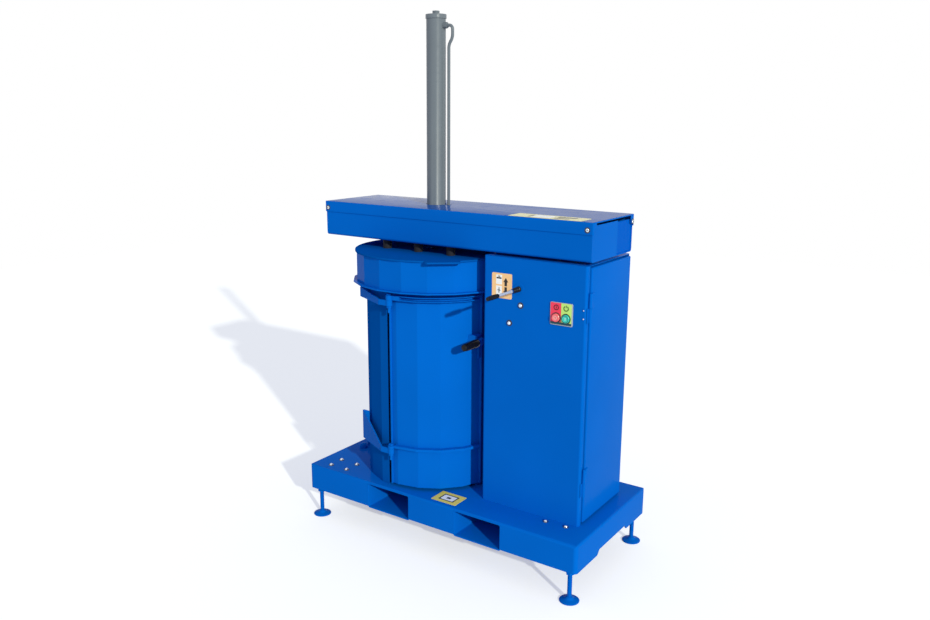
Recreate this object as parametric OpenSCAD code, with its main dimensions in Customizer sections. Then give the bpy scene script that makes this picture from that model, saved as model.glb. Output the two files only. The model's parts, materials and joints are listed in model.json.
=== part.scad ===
// Bag compactor: a round pressing drum with a hinged door stands on a pallet base beside a
// power cabinet, and a beam across the cabinet's column carries the upright press cylinder.
// Millimetres, +Z up, front towards -Y. The origin is on the floor, in the middle of the
// overall footprint.

/* [Base] */
// Length of the base tray
base_w = 1184; // [1160:1:1300]
// Depth of the base tray
base_d = 555; // [545:1:640]
// Height of the tray's skirt
base_h = 100; // [95:1:130]
// Clearance between the floor and the skirt
base_clear = 115; // [100:1:130]
// Plate thickness of the tray
base_t = 5; // [4:0.5:7]
// Outer radius of the tray's vertical corners
base_corner_r = 14; // [10:1:22]
// Outer radius of the tray's top folds
base_fold_r = 9; // [8:0.5:12]
// Width of the relief under each end skirt
relief_w = 208; // [160:1:260]
// Height of the relief under each end skirt
relief_h = 16; // [10:1:24]

/* [Fork pockets] */
// Outer width of each pocket tube
pocket_w = 200; // [180:1:210]
// Outer height of each pocket tube
pocket_h = 100; // [90:1:104]
// Wall of the pocket tube
pocket_t = 5; // [4:0.5:8]
// Outer corner radius of the pocket tube
pocket_r = 10; // [9:0.5:14]
// Distance between the two pocket centre lines
pocket_spacing = 396; // [380:1:430]
// Offset of the pockets' middle from the base's middle
pocket_shift = 5; // [0:1:12]

/* [Feet] */
// Distance of each foot's axis from the tray's nearer end
foot_in_x = 34.5; // [33:0.5:46]
// Distance of each foot's axis from the tray's nearer long side
foot_in_y = 26; // [25:0.5:36]
// Diameter of the foot pad
pad_d = 68; // [60:1:80]
// Height of the pad's dome
pad_h = 10; // [8:0.5:14]
// Diameter of the foot's threaded rod
foot_rod_d = 16; // [12:1:20]
// Length of the rod above the pad
foot_rod_len = 160; // [150:1:165]
// Side of the square corner plate that holds the foot
foot_plate_w = 76; // [70:1:90]
// Thickness of the corner plate
foot_plate_t = 8; // [6:0.5:12]
// Height of the foot's nut
foot_nut_h = 17; // [12:0.5:18]
// Radial running clearance of a turning or sliding fit
run_gap = 0.05; // [0.02:0.01:0.09]

/* [Drum] */
// Distance of the drum's axis from the base's middle along the base
drum_x = -179; // [-185:1:-177]
// Distance of the drum's axis from the base's middle across the base
drum_y = 13; // [8:1:16]
// Corner radius of the many-sided drum
drum_r = 263.5; // [258:0.5:265]
// Sheet thickness of the drum and its door
shell_t = 4; // [3:0.5:4.5]
// Angle of the rear shell's edge at the hinge
shell_hinge_a = -97; // [-99:0.5:-96]
// Angle of the rear shell's edge at the latch
shell_latch_a = -13; // [-14:0.5:-11]
// Angle of the door's edge at the hinge
door_hinge_a = -93; // [-94:0.5:-92.5]
// Angle of the door's edge at the latch
door_latch_a = -16.5; // [-18:0.5:-16]
// Gap between the door's lower edge and the base
door_gap_low = 12; // [8:1:18]
// Gap between the door's upper edge and the collar
door_gap_top = 10; // [8:1:14]
// Width of the lips along the door's upright edges
door_lip = 8; // [5:0.5:9]
// Overlap of the jamb strip inside the closing edge of the door
jamb_a = 5; // [3:0.5:8]
// Air between the jamb strip and the closed door
jamb_gap = 1; // [0.6:0.1:1.5]

/* [Door hoops and hinges] */
// Radius of the hinge axis from the drum's axis
hinge_r = 285; // [283:1:287]
// Diameter of the hinge bolts
hinge_bolt_d = 10; // [8:0.5:12]
// Outer diameter of the hinge eyes
hinge_eye_d = 24; // [22:1:27]
// Outer corner radius of the hoops
hoop_r = 284; // [281:1:286]
// Height of the lower hoop's underside above the base
hoop_low_z = 160; // [150:1:180]
// Thickness of the lower hoop
hoop_low_h = 10; // [8:0.5:14]
// Distance from the door's upper edge down to the upper hoop
hoop_top_drop = 6; // [5:1:15]
// Height of the upper hoop's channel
hoop_top_h = 17; // [15:1:24]
// Sheet thickness of the upper hoop's channel
hoop_t = 3; // [2.5:0.5:4]
// Plate thickness of the hinge arms
arm_t = 6; // [5:0.5:8]
// Height of an arm at its hinge eye
arm_eye_h = 20; // [18:1:24]
// Height of the lower arm where it meets the shell
arm_low_h = 112; // [90:1:130]
// Height of the upper arm where it meets the shell
arm_top_h = 36; // [30:1:50]

/* [Latch] */
// Height of the latch's turning axis above the base
latch_z = 570; // [500:1:640]
// Distance of the latch's axis in front of the base's middle line
latch_y = -95; // [-99:1:-94]
// Diameter of the latch spindle
latch_d = 14; // [12:1:16]
// Diameter of the latch grip
grip_d = 31; // [26:1:32]
// Length of the latch grip
grip_len = 86; // [80:1:100]
// Length of the tongue from the latch's axis
tongue_len = 62; // [60:1:66]
// Thickness of the tongue
tongue_t = 3; // [2:0.5:3.5]

/* [Collar] */
// Corner radius of the collar's skirt
collar_r = 300; // [296:1:306]
// Height of the collar's skirt
collar_h = 107; // [104:1:120]
// Sheet thickness of the skirt
collar_t = 4; // [3:0.5:5]
// Thickness of the collar's top plate
collar_top_t = 6; // [5:0.5:9]
// Overhang of the top plate past the skirt
collar_lip = 4; // [2:1:8]
// Corner radius of the collar's lower flange
collar_flange_r = 314; // [311:1:319]
// Thickness of the lower flange
collar_flange_t = 5; // [4:0.5:7]
// Radius of the opening in the lower flange
collar_bore_r = 255; // [254:0.5:257]
// Gap between the collar and the beam
collar_gap = 35; // [30:1:45]
// Width of the pull tab on the collar's rim
tab_w = 124; // [100:1:150]
// Length of the pull tab past the rim
tab_len = 26; // [18:1:34]
// Direction in which the pull tab points
tab_a = -50; // [-60:1:-40]

/* [Cabinet] */
// Distance of the cabinet's left side from the base's middle
cab_left = 142; // [141:1:148]
// Width of the cabinet to its open side
cab_w = 389; // [380:1:410]
// Distance of the cabinet's front from the base's middle line
cab_front = 151; // [150:1:160]
// Depth of the cabinet
cab_d = 326; // [320:1:350]
// Height of the cabinet
cab_h = 893; // [880:1:920]
// Sheet thickness of the cabinet
cab_t = 2; // [1.5:0.1:2.5]
// Outer radius of the cabinet's upright edges
cab_r = 8; // [6:0.5:10]
// Width of the return beside the cabinet door
cab_return = 18; // [16:1:22]
// Width of the folded flanges inside the cabinet
cab_flange = 20; // [14:1:24]
// Depth of the pan-shaped cabinet door
door_d = 25; // [20:1:30]
// Distance that the cabinet door stands proud
door_proud = 6; // [4:0.5:8]
// Gap round the cabinet door
door_gap = 5; // [4:0.5:6]
// Outer radius of the cabinet door's folds
pan_r = 6; // [4:0.5:8]
// Diameter of the lift-off hinge knuckles
knuckle_d = 12; // [10:0.5:12]
// Height of one hinge with both knuckles
knuckle_h = 98; // [80:1:110]
// Diameter of the hinge pins
hinge_pin_d = 7; // [5:0.5:7.5]
// Height of the lower hinge above the base
hinge_low_z = 106; // [90:1:140]
// Height of the upper hinge above the base
hinge_high_z = 707; // [660:1:740]
// Distance of the cable gland from the cabinet's left side
cable_in = 300; // [260:1:330]
// Height of the cable gland above the base
cable_entry_z = 90; // [60:1:140]

/* [Controls] */
// Distance of the lever from the cabinet's left side
lever_x = 139; // [130:1:150]
// Height of the lever above the base
lever_z = 791; // [770:1:800]
// Diameter of the lever's ball
lever_ball_d = 32; // [28:1:36]
// Distance from the cabinet's front to the lever's tip
lever_reach = 196.5; // [180:0.5:220]
// Diameter of the lever's rod
lever_rod_d = 10; // [8:0.5:12]
// Length of the lever's grip
lever_grip_len = 60; // [50:1:75]
// Width of the switch housing
switch_w = 82; // [78:1:90]
// Height of the switch housing
switch_h = 76; // [72:1:84]
// Depth of the switch housing inside the cabinet
switch_d = 58; // [50:1:70]
// Distance of the switch from the cabinet's left side
switch_x = 302; // [298:1:310]
// Height of the switch's middle above the base
switch_z = 728; // [715:1:745]
// Diameter of the two push buttons
button_d = 28; // [24:1:30]
// Distance between the two push buttons
button_spacing = 36; // [34:1:40]
// Height that a push button stands proud
button_proud = 8; // [6:0.5:10]

/* [Column] */
// Width of the column tube
col_w = 120; // [110:1:124]
// Wall of the column tube
col_t = 8; // [6:0.5:10]
// Gap between the column and the cabinet's left side
col_gap = 12; // [10:1:16]
// Thickness of the column's foot plate
col_foot_t = 12; // [10:0.5:16]
// Diameter of the frame bolts
frame_bolt_d = 12; // [10:1:14]

/* [Beam] */
// Length of the beam to the left of the base's middle
beam_left = 589; // [585:1:589]
// Length of the beam to the right of the base's middle
beam_right = 543; // [540:1:560]
// Depth of the beam over its cover
beam_d = 312.5; // [306:0.5:330]
// Distance of the beam's front from the base's middle line
beam_front = 147; // [144:1:149]
// Height of the beam with its cover
beam_h = 129; // [120:1:140]
// Gap between the cabinet and the beam
beam_gap = 10; // [8:0.5:14]
// Plate thickness of the beam tray
beam_t = 5; // [4:0.5:6]
// Outer radius of the beam tray's lower folds
beam_fold_r = 10; // [8:0.5:14]
// Sheet thickness of the beam cover
cover_t = 3; // [2:0.5:4]
// Inner radius of the cover's folds, kept clear of the tray's edges
cover_in_r = 1; // [0.5:0.5:2]
// Depth of the cover's front and rear flanges
cover_flange = 40; // [34:1:50]
// Width of the lips at the cover's corners
cover_lip = 24; // [20:1:32]
// Share of the beam's end that the front flap closes
flap_w = 188; // [170:1:200]

/* [Cylinder] */
// Outer diameter of the cylinder tube
cyl_d = 70; // [66:1:74]
// Bore of the cylinder tube
cyl_bore = 60; // [56:1:62]
// Length of the cylinder tube
cyl_len = 764; // [745:1:800]
// Diameter of the piston rod
rod_d = 40; // [34:1:44]
// Diameter of the cylinder's end cap
cap_d = 75; // [72:1:80]
// Thickness of the end cap
cap_h = 15; // [12:1:20]
// Diameter of the cylinder's foot flange
cyl_flange_d = 130; // [124:1:140]
// Thickness of the foot flange
cyl_flange_t = 18; // [14:1:22]
// Thickness of the seat plate in the beam
seat_t = 15; // [12:1:18]
// Diameter of the oil pipe beside the cylinder
pipe_d = 11; // [8:1:13]
// Distance of the oil pipe from the cylinder's axis
pipe_x = 56; // [54:1:60]
// Distance of the pipe's upper bend from the cylinder's axis
pipe_bend_x = 72; // [70:1:76]
// Radius of the press plate
plate_r = 247; // [240:1:248]
// Thickness of the press plate's disc
plate_t = 8; // [6:1:10]
// Height of the press plate's ribs
rib_h = 52; // [45:1:56]
// Height of the press plate above the collar's lower flange
plate_rise = 12; // [8:1:16]

/* [Power pack] */
// Length of the oil tank along the base
tank_w = 200; // [180:1:208]
// Depth of the oil tank
tank_d = 226; // [200:1:240]
// Height of the oil tank
tank_h = 180; // [160:1:220]
// Sheet thickness of the oil tank
tank_t = 3; // [2:0.5:4]
// Height of the tank's feet
tank_foot_h = 30; // [22:1:40]
// Diameter of the motor's body
motor_d = 132; // [120:1:140]
// Length of the motor's finned body
motor_h = 150; // [130:1:170]
// Diameter of the oil lines inside the machine
line_d = 14; // [12:1:16]

/* [Hidden] */
$fn = 16;

// Paint and metal colours
BLUE = [0.0, 0.31, 0.71];
GREY = [0.42, 0.45, 0.48];
STEEL = [0.72, 0.73, 0.75];
BLACK = [0.05, 0.05, 0.06];

// Shape of the drum and the collar in plan
sides = 20;
side_a = 360 / sides;
drum_phase = 3;
collar_phase = drum_phase + side_a / 2;

// The machine is laid out about the base's middle, then moved so that its footprint is centred
front_reach = cab_front + lever_reach;
rear_reach = max([for (p = ngon(collar_flange_r, collar_phase)) drum_y + p[1]]);
base_y = (front_reach - rear_reach) / 2;

// Heights
base_top = base_clear + base_h;
cab_top = base_top + cab_h;
beam_z = cab_top + beam_gap;
beam_top = beam_z + beam_h;
collar_z = beam_z - collar_gap;
skirt_z = collar_z - collar_top_t - collar_h;
collar_low_z = skirt_z - collar_flange_t;
door_z = base_top + door_gap_low;
door_top = collar_low_z - door_gap_top;
seat_z = beam_z + beam_t;
flange_z = seat_z + seat_t;
cyl_top = flange_z + cyl_len;

// Drum
hinge_a = -90;
hinge_x = drum_x + hinge_r * cos(hinge_a);
hinge_y = drum_y + hinge_r * sin(hinge_a);
shell_in = drum_r - shell_t;
eye_gap = 0.4;
hoop_top_z = door_top - hoop_top_drop - hoop_top_h;
hoop_low_abs = base_top + hoop_low_z;
arm_top_z = hoop_top_z - eye_gap - arm_eye_h;
arm_low_z = hoop_low_abs - eye_gap - arm_eye_h;
arm_near = [hinge_x - 40, hinge_y - 6];
arm_bend = [drum_x - 0.646 * hinge_r, drum_y - 0.776 * hinge_r];
arm_end = [drum_x - 0.575 * hinge_r, drum_y - 0.684 * hinge_r];
hinge_nut_h = 8;
hinge_tail = 18;

// Latch, which turns about an axis along X
latch_h = base_top + latch_z;
bracket_x = cab_left - 54;
tongue_x = bracket_x + 0.5;
hub_x = tongue_x + tongue_t;
hub_h = cab_left - 38 - hub_x;
hub_d = 26;
tongue_w = 20;
bracket_w = 34;
bracket_h = 42;
grip_y = latch_y - 28;
keeper_gap = 0.6;
keeper_t = 5;
keeper_w = 14;

// Cabinet
cab_right = cab_left + cab_w;
cab_y0 = -cab_front;
cab_y1 = cab_y0 + cab_d;
door_x1 = cab_right + door_proud;
door_y0 = cab_y0 + cab_return + door_gap;
door_y1 = cab_y1 - door_gap;
pan_z0 = base_top + door_gap + cab_t;
pan_z1 = cab_top - cab_t - door_gap;
leaf_gap = 0.5;
leaf_t = 3;
pin_x = door_x1 + leaf_gap;
pin_y = cab_y0 + cab_return - 1;
hinge_zs = [base_top + hinge_low_z, base_top + hinge_high_z];
screw_r = 3;
hole_gap = 0.3;
lever_abs_x = cab_left + lever_x;
lever_abs_z = base_top + lever_z;
lever_pin_d = 10;
valve_w = 60;
valve_h = 90;
valve_d = 70;
valve_gap = 6;
switch_abs_x = cab_left + switch_x;
switch_abs_z = base_top + switch_z;
switch_rim = 4;
button_z = switch_abs_z - 13;
button_travel = 4;
// Screws in the front panel: distance from the cabinet's left side and height above the base
panel_spots = [[147, 736], [104, 670]];
panel_screw_d = 16;
edge_screw_d = 10;
cable_x = cab_left + cable_in;
cable_z = base_top + cable_entry_z;
cable_thread_d = 20;
edge_spots = [[381, 750], [381, 722]];

// Column
col_x0 = cab_left + cab_t + col_gap;
col_cx = col_x0 + col_w / 2;
col_plate_w = col_w + 20;
col_plate_d = col_w + 70;
col_bolt_dx = col_w - 20;
col_bolt_dy = col_w + 30;
bolt_hole_gap = 0.5;

// Beam
tray_x0 = -beam_left + cover_t + cover_in_r;
tray_x1 = beam_right - cover_t - cover_in_r;
tray_y0 = -beam_front + cover_t;
tray_y1 = -beam_front + beam_d - cover_t;
tray_top = beam_top - cover_t - cover_in_r;
flap_drop = 8;
rear_flap_drop = 13;
rear_flap_step = 3;
cover_screw_z = beam_top - 25;
cover_screw_in = 15;
cover_screw_d = 11;
cover_screw_head = 3;

// Collar bolts: offsets from the drum's axis
spacer_spots = [[-145, -112], [0, -112], [145, -112], [-145, 112], [0, 112], [145, 112]];
spacer_d = 32;
collar_bolt_d = 14;

// Press
seat_w = 200;
cyl_bolt_pcd = 104;
gland_h = 40;
piston_h = 38;
piston_z = cyl_top - piston_h - 16;
plate_z = collar_low_z + plate_rise;
hub_top_z = plate_z + plate_t + rib_h;
plate_hub_d = 90;
rib_t = 8;
port_z = cyl_top - 24;
port_d = 8;
nut_af = 19;
nut_len = 14.5;
pipe_seat = 6;
low_port_z = flange_z + gland_h + 9;
low_pipe_r = 20;
low_pipe_z = beam_z + 58;
coupling_len = 26;
coupling_x = drum_x + pipe_x + low_pipe_r + 8;

// Power pack
tank_side_gap = 32;
tank_x0 = cab_right - tank_w - tank_side_gap;
tank_y0 = drum_y + 20 - tank_d / 2;
tank_z = base_top + tank_foot_h;
lid_z = tank_z + tank_h;
lid_t = 6;
motor_x = tank_x0 + tank_w / 2;
motor_y = tank_y0 + tank_d / 2;
bell_h = 26;
bell_d = 120;
bell_bore = 50;
fan_h = 46;
motor_low_z = lid_z + lid_t;
fins = 28;
fin_t = 3;
fin_h = 9;
filler_in = 30;
filler_neck_d = 34;
filler_cap_d = 48;
tank_foot_w = 30;
tank_foot_in = 20;
valve_y = cab_y0 + lever_ball_d / 2 + valve_gap;
valve_back = valve_y + valve_d;
valve_low = lever_abs_z - valve_h / 2;

// Oil lines
line_x = col_cx + col_w / 2 + 50;
line_rear_y = drum_y + cyl_d / 2 + nut_len + 25;
line_spots = [[line_x, drum_y], [line_x, line_rear_y]];
line_hole_d = line_d + 8;
tank_line_y = tank_y0 + 30;
tank_line_xs = [tank_x0 + 16, tank_x0 + 40];
valve_port_x = lever_abs_x + valve_w / 2 - 10;
elbow_more = 5;

// Small fittings on the base
foot_shift_x = 0.5;
foot_spacing_x = base_w - 2 * foot_in_x;
foot_spacing_y = base_d - 2 * foot_in_y;
pocket_z = base_top - base_t - pocket_h / 2;
// Bolts in the base's top, by their distances from its left and right front corners
spots_left = [[82, 36.5], [81, 97.5], [162, 36.5], [163, 96.5]];
spots_right = [[171, 100.5], [95, 103.5]];
base_spots = concat([for (p = spots_left) [p[0] - base_w / 2, p[1] - base_d / 2]],
    [for (p = spots_right) [base_w / 2 - p[0], p[1] - base_d / 2]]);
base_bolt_d = 10;
anchor_x = -base_w / 2 + 0.42 * (base_w / 2 + drum_x - drum_r);
anchor_y = -25;

// Door hoops
hoop_a0 = hinge_a + 2;
hoop_a1 = door_latch_a - 3;
lip_a = shell_t / 2 / drum_r * 180 / PI;

// Moves the laid out machine to the origin
module in_place() {
    translate([0, base_y, 0]) children();
}

module rounded_rect(w, d, r) {
    square([w - 2 * r, d], center = true);
    square([w, d - 2 * r], center = true);
    for (sx = [-1, 1]) {
        for (sy = [-1, 1]) {
            translate([sx * (w / 2 - r), sy * (d / 2 - r)]) circle(r);
        }
    }
}

// Upright rectangle standing on the X axis with its two upper corners rounded
module hooded_rect(w, h, r) {
    translate([-w / 2, 0]) square([w, h - r]);
    translate([-w / 2 + r, 0]) square([w - 2 * r, h]);
    for (s = [-1, 1]) {
        translate([s * (w / 2 - r), h - r]) circle(r);
    }
}

// Block with rounded upright corners and rounded upper edges
module folded_block(w, d, h, corner_r, fold_r) {
    intersection() {
        linear_extrude(h) rounded_rect(w, d, corner_r);
        rotate([90, 0, 0]) linear_extrude(d + 2, center = true) hooded_rect(w, h, fold_r);
        rotate([90, 0, 90]) linear_extrude(w + 2, center = true) hooded_rect(d, h, fold_r);
    }
}

// Sheet pan that opens downwards
module pan(w, d, h, t, corner_r, fold_r) {
    difference() {
        folded_block(w, d, h, corner_r, fold_r);
        translate([0, 0, -1])
            folded_block(w - 2 * t, d - 2 * t, h - t + 1, corner_r - t, fold_r - t);
    }
}

module hex(af, h) {
    cylinder(r = af / 2 / cos(30), h = h, $fn = 6);
}

// Bolt whose head rests on the XY plane and whose shank points down
module hex_bolt(d, len) {
    hex(1.6 * d, 0.62 * d);
    translate([0, 0, -len]) cylinder(d = d, h = len + 0.1);
}

module hex_nut(d, h) {
    difference() {
        hex(1.6 * d, h);
        translate([0, 0, -1]) cylinder(d = d + 2 * run_gap, h = h + 2);
    }
}

// Dome-headed bolt, head on the XY plane and shank pointing down
module dome_bolt(d, len, head_d, head_h) {
    dome_r = (head_d * head_d / 4 + head_h * head_h) / (2 * head_h);
    rim_a = asin(head_d / 2 / dome_r);
    dome = [for (i = [0:3]) [dome_r * sin(i * rim_a / 3), head_h - dome_r + dome_r * cos(i * rim_a / 3)]];
    rotate_extrude() polygon(concat(dome, [[d / 2, 0], [d / 2, -len], [0, -len]]));
}

function ngon(r, phase) = [for (i = [0:sides - 1])
    [r * cos(phase + i * side_a), r * sin(phase + i * side_a)]];

function on_arc(r, a) = [r * cos(a), r * sin(a)];

module sector(a0, a1) {
    steps = ceil((a1 - a0) / 15);
    polygon(concat([[0, 0]], [for (i = [0:steps]) on_arc(2 * collar_r, a0 + (a1 - a0) * i / steps)]));
}

// Part of a many-sided ring between two angles
module side_ring(r_out, r_in, a0, a1, phase) {
    intersection() {
        difference() {
            polygon(ngon(r_out, phase));
            polygon(ngon(r_in, phase));
        }
        sector(a0, a1);
    }
}

function unit(v) = v / norm(v);

// Row of points moved sideways by the length off, mitred at the bends
function rail(points, off) = let (last = len(points) - 1) [for (i = [0:last])
    let (a = unit(points[max(i, 1)] - points[max(i, 1) - 1]),
        b = unit(points[min(i, last - 1) + 1] - points[min(i, last - 1)]),
        n = unit([-a[1] - b[1], a[0] + b[0]]))
    points[i] + n * off / (n[1] * a[0] - n[0] * a[1])];

// Strip of plate in plan through a row of points
module strip(points, t) {
    last = len(points) - 1;
    right = rail(points, -t / 2);
    polygon(concat(rail(points, t / 2), [for (i = [0:last]) right[last - i]]));
}

module at_drum(z = 0) {
    in_place() translate([drum_x, drum_y, z]) children();
}

// Base
module pocket_section() {
    difference() {
        rounded_rect(pocket_w, pocket_h, pocket_r);
        rounded_rect(pocket_w - 2 * pocket_t, pocket_h - 2 * pocket_t, pocket_r - pocket_t);
    }
}

function pocket_x(side) = pocket_shift + side * pocket_spacing / 2;

module pocket_cut(side) {
    translate([pocket_x(side), 0, pocket_z]) rotate([90, 0, 0]) linear_extrude(base_d + 2, center = true) {
        rounded_rect(pocket_w, pocket_h, pocket_r);
        translate([-pocket_w / 2, -pocket_h / 2 - 1]) square([pocket_w, pocket_h / 2]);
    }
}

module relief_cut(side) {
    translate([side * base_w / 2, 0, base_clear]) rotate([90, 0, 90])
        linear_extrude(4 * base_t, center = true)
            polygon([[-relief_w / 2 - relief_h, -1], [-relief_w / 2, relief_h],
                [relief_w / 2, relief_h], [relief_w / 2 + relief_h, -1]]);
}

module column_bolt_spots() {
    for (sx = [-1, 1]) {
        for (sy = [-1, 1]) {
            translate([col_cx + sx * col_bolt_dx / 2, drum_y + sy * col_bolt_dy / 2]) children();
        }
    }
}

module base_tray() {
    in_place() color(BLUE) difference() {
        translate([0, 0, base_clear]) pan(base_w, base_d, base_h, base_t, base_corner_r, base_fold_r);
        for (side = [-1, 1]) {
            pocket_cut(side);
            relief_cut(side);
        }
        for (p = base_spots) {
            translate([p[0], p[1], base_top - 2 * base_t])
                cylinder(d = base_bolt_d + 2 * hole_gap, h = 3 * base_t);
        }
        translate([0, 0, base_top - 2 * base_t])
            column_bolt_spots() cylinder(d = frame_bolt_d + 2 * run_gap, h = 3 * base_t);
    }
}

module fork_pocket(side) {
    in_place() color(BLUE) translate([pocket_x(side), 0, pocket_z]) rotate([90, 0, 0])
        linear_extrude(base_d, center = true) pocket_section();
}

module fork_pocket_left() {
    fork_pocket(-1);
}

module fork_pocket_right() {
    fork_pocket(1);
}

module at_foot(sx, sy) {
    in_place() translate([foot_shift_x + sx * foot_spacing_x / 2, sy * foot_spacing_y / 2, 0]) children();
}

module foot_plates() {
    color(BLUE) difference() {
        in_place() translate([0, 0, base_clear]) linear_extrude(foot_plate_t) intersection() {
            rounded_rect(base_w - 2 * base_t, base_d - 2 * base_t, base_corner_r - base_t);
            for (sx = [-1, 1]) {
                for (sy = [-1, 1]) {
                    translate([sx * (base_w / 2 - base_t), sy * (base_d / 2 - base_t)])
                        square(2 * foot_plate_w, center = true);
                }
            }
        }
        for (sx = [-1, 1]) {
            for (sy = [-1, 1]) {
                at_foot(sx, sy) translate([0, 0, base_clear - 1])
                    cylinder(d = foot_rod_d + 2 * hole_gap, h = foot_plate_t + 2);
            }
        }
    }
}

module foot_nuts() {
    color(BLUE) for (sx = [-1, 1]) {
        for (sy = [-1, 1]) {
            at_foot(sx, sy) translate([0, 0, base_clear - foot_nut_h]) hex_nut(foot_rod_d, foot_nut_h);
        }
    }
}

// Levelling foot: domed pad and threaded rod
module foot(sx, sy) {
    rim_h = 0.35 * pad_h;
    neck_r = 0.75 * foot_rod_d;
    chamfer = 1.5;
    rod_r = foot_rod_d / 2;
    top = pad_h + foot_rod_len;
    color(BLUE) at_foot(sx, sy) {
        rotate_extrude() polygon([[0, 0], [pad_d / 2 - 1, 0], [pad_d / 2, 1], [pad_d / 2, rim_h],
            [pad_d / 2 - 3, rim_h + 1.2], [neck_r + 5, pad_h - 1.5], [neck_r, pad_h + 3],
            [rod_r, pad_h + 5], [rod_r, top - chamfer], [rod_r - chamfer, top], [0, top]]);
    }
}

module foot_front_left() {
    foot(-1, -1);
}

module foot_front_right() {
    foot(1, -1);
}

module foot_rear_left() {
    foot(-1, 1);
}

module foot_rear_right() {
    foot(1, 1);
}

module base_bolts() {
    in_place() color(STEEL) for (p = base_spots) {
        translate([p[0], p[1], base_top])
            dome_bolt(base_bolt_d, base_t + 12, 1.8 * base_bolt_d, 0.6 * base_bolt_d);
        translate([p[0], p[1], base_top - base_t - 8]) hex_nut(base_bolt_d, 8);
    }
}

// Cabinet
module cabinet_outline(inset) {
    rounded_rect(cab_w - 2 * inset, cab_d - 2 * inset, cab_r - inset);
}

module cabinet_shell() {
    edge = cab_w / 2;
    side = cab_d / 2;
    in_place() color(BLUE) difference() {
        translate([cab_left + cab_w / 2, cab_y0 + cab_d / 2, base_top]) union() {
            linear_extrude(cab_h - cab_t) difference() {
                cabinet_outline(0);
                cabinet_outline(cab_t);
                translate([edge - cab_t - 1, cab_return - side])
                    square([2 * cab_t, cab_d - cab_return - cab_t]);
            }
            linear_extrude(cab_h - cab_t) translate([edge - cab_flange - cab_t, cab_return - side - cab_t])
                square([cab_flange + cab_t, cab_t]);
            linear_extrude(cab_t) for (s = [-1, 1]) {
                translate([-edge + cab_r, s < 0 ? -side + cab_t / 2 : side - cab_t / 2 - cab_flange])
                    square([cab_w - cab_r - cab_flange - 3 * cab_t, cab_flange]);
            }
        }
        translate([lever_abs_x, cab_y0, lever_abs_z]) rotate([90, 0, 0])
            cylinder(d = lever_ball_d + 4 * hole_gap, h = 6 * cab_t, center = true);
        translate([switch_abs_x, cab_y0, switch_abs_z])
            cube([switch_w - 10, 6 * cab_t, switch_h - 10], center = true);
        for (p = concat(panel_spots, edge_spots)) {
            translate([cab_left + p[0], cab_y0, base_top + p[1]]) rotate([90, 0, 0])
                cylinder(r = screw_r + hole_gap, h = 6 * cab_t, center = true);
        }
        translate([cable_x, cab_y1, cable_z]) rotate([90, 0, 0])
            cylinder(d = cable_thread_d + 2 * hole_gap, h = 6 * cab_t, center = true);
    }
}

module column_outline(extra) {
    translate([col_cx, drum_y]) rounded_rect(col_w + 2 * extra, col_w + 2 * extra, 2 * col_t + extra);
}

// Holes through which the oil lines pass from the cabinet up into the beam
module line_holes(z0, h) {
    for (p = line_spots) {
        translate([p[0], p[1], z0]) cylinder(d = line_hole_d, h = h);
    }
}

module cabinet_top() {
    in_place() color(BLUE) difference() {
        union() {
            translate([cab_left + cab_w / 2, cab_y0 + cab_d / 2, cab_top - cab_t])
                linear_extrude(cab_t) cabinet_outline(0);
            translate([cab_left + cab_w / 2, cab_y0 + cab_d / 2, cab_top - cab_t - 14])
                linear_extrude(14) difference() {
                    cabinet_outline(cab_t);
                    cabinet_outline(2 * cab_t);
                    translate([cab_w / 2 - cab_flange - 4 * cab_t, -cab_d / 2])
                        square([cab_flange + 5 * cab_t, cab_d]);
                }
        }
        translate([0, 0, cab_top - 3 * cab_t]) linear_extrude(6 * cab_t) column_outline(bolt_hole_gap);
        line_holes(cab_top - 3 * cab_t, 6 * cab_t);
    }
}

module cabinet_door() {
    in_place() color(BLUE) translate([door_x1 - door_d, (door_y0 + door_y1) / 2, (pan_z0 + pan_z1) / 2])
        rotate([0, 90, 0]) pan(pan_z1 - pan_z0, door_y1 - door_y0, door_d, cab_t, pan_r, pan_r);
}

module at_hinges() {
    for (z = hinge_zs) {
        in_place() translate([pin_x, pin_y, z]) children();
    }
}

// Upper half knuckles with the leaves welded to the cabinet door
module hinge_leaves() {
    h = knuckle_h / 2 - leaf_gap;
    color(BLUE) at_hinges() translate([0, 0, knuckle_h / 2 + leaf_gap]) difference() {
        union() {
            cylinder(d = knuckle_d, h = h);
            translate([door_x1 - pin_x, 0, 0]) cube([leaf_t, door_y0 - pin_y + 16, h]);
        }
        translate([0, 0, -1]) cylinder(d = hinge_pin_d + 2 * run_gap, h = h - 4);
    }
}

// Lower half knuckles with the pins that the cabinet door lifts off
module hinge_pins() {
    h = knuckle_h / 2;
    color(BLUE) at_hinges() {
        cylinder(d = knuckle_d, h = h);
        cylinder(d = hinge_pin_d, h = knuckle_h - 8);
        translate([cab_right - pin_x, -knuckle_d / 2 - 8, 0]) cube([leaf_t, knuckle_d / 2 + 8, h]);
        translate([cab_right - pin_x, -knuckle_d / 2, 0]) cube([pin_x - cab_right, leaf_t, h]);
    }
}

module panel_screws() {
    in_place() color(STEEL) {
        for (p = panel_spots) {
            translate([cab_left + p[0], cab_y0, base_top + p[1]]) rotate([90, 0, 0])
                dome_bolt(2 * screw_r, cab_t + 10, panel_screw_d, 6);
        }
        for (p = edge_spots) {
            translate([cab_left + p[0], cab_y0, base_top + p[1]]) rotate([90, 0, 0])
                dome_bolt(2 * screw_r, cab_t + 5, edge_screw_d, 3);
        }
    }
}

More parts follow.
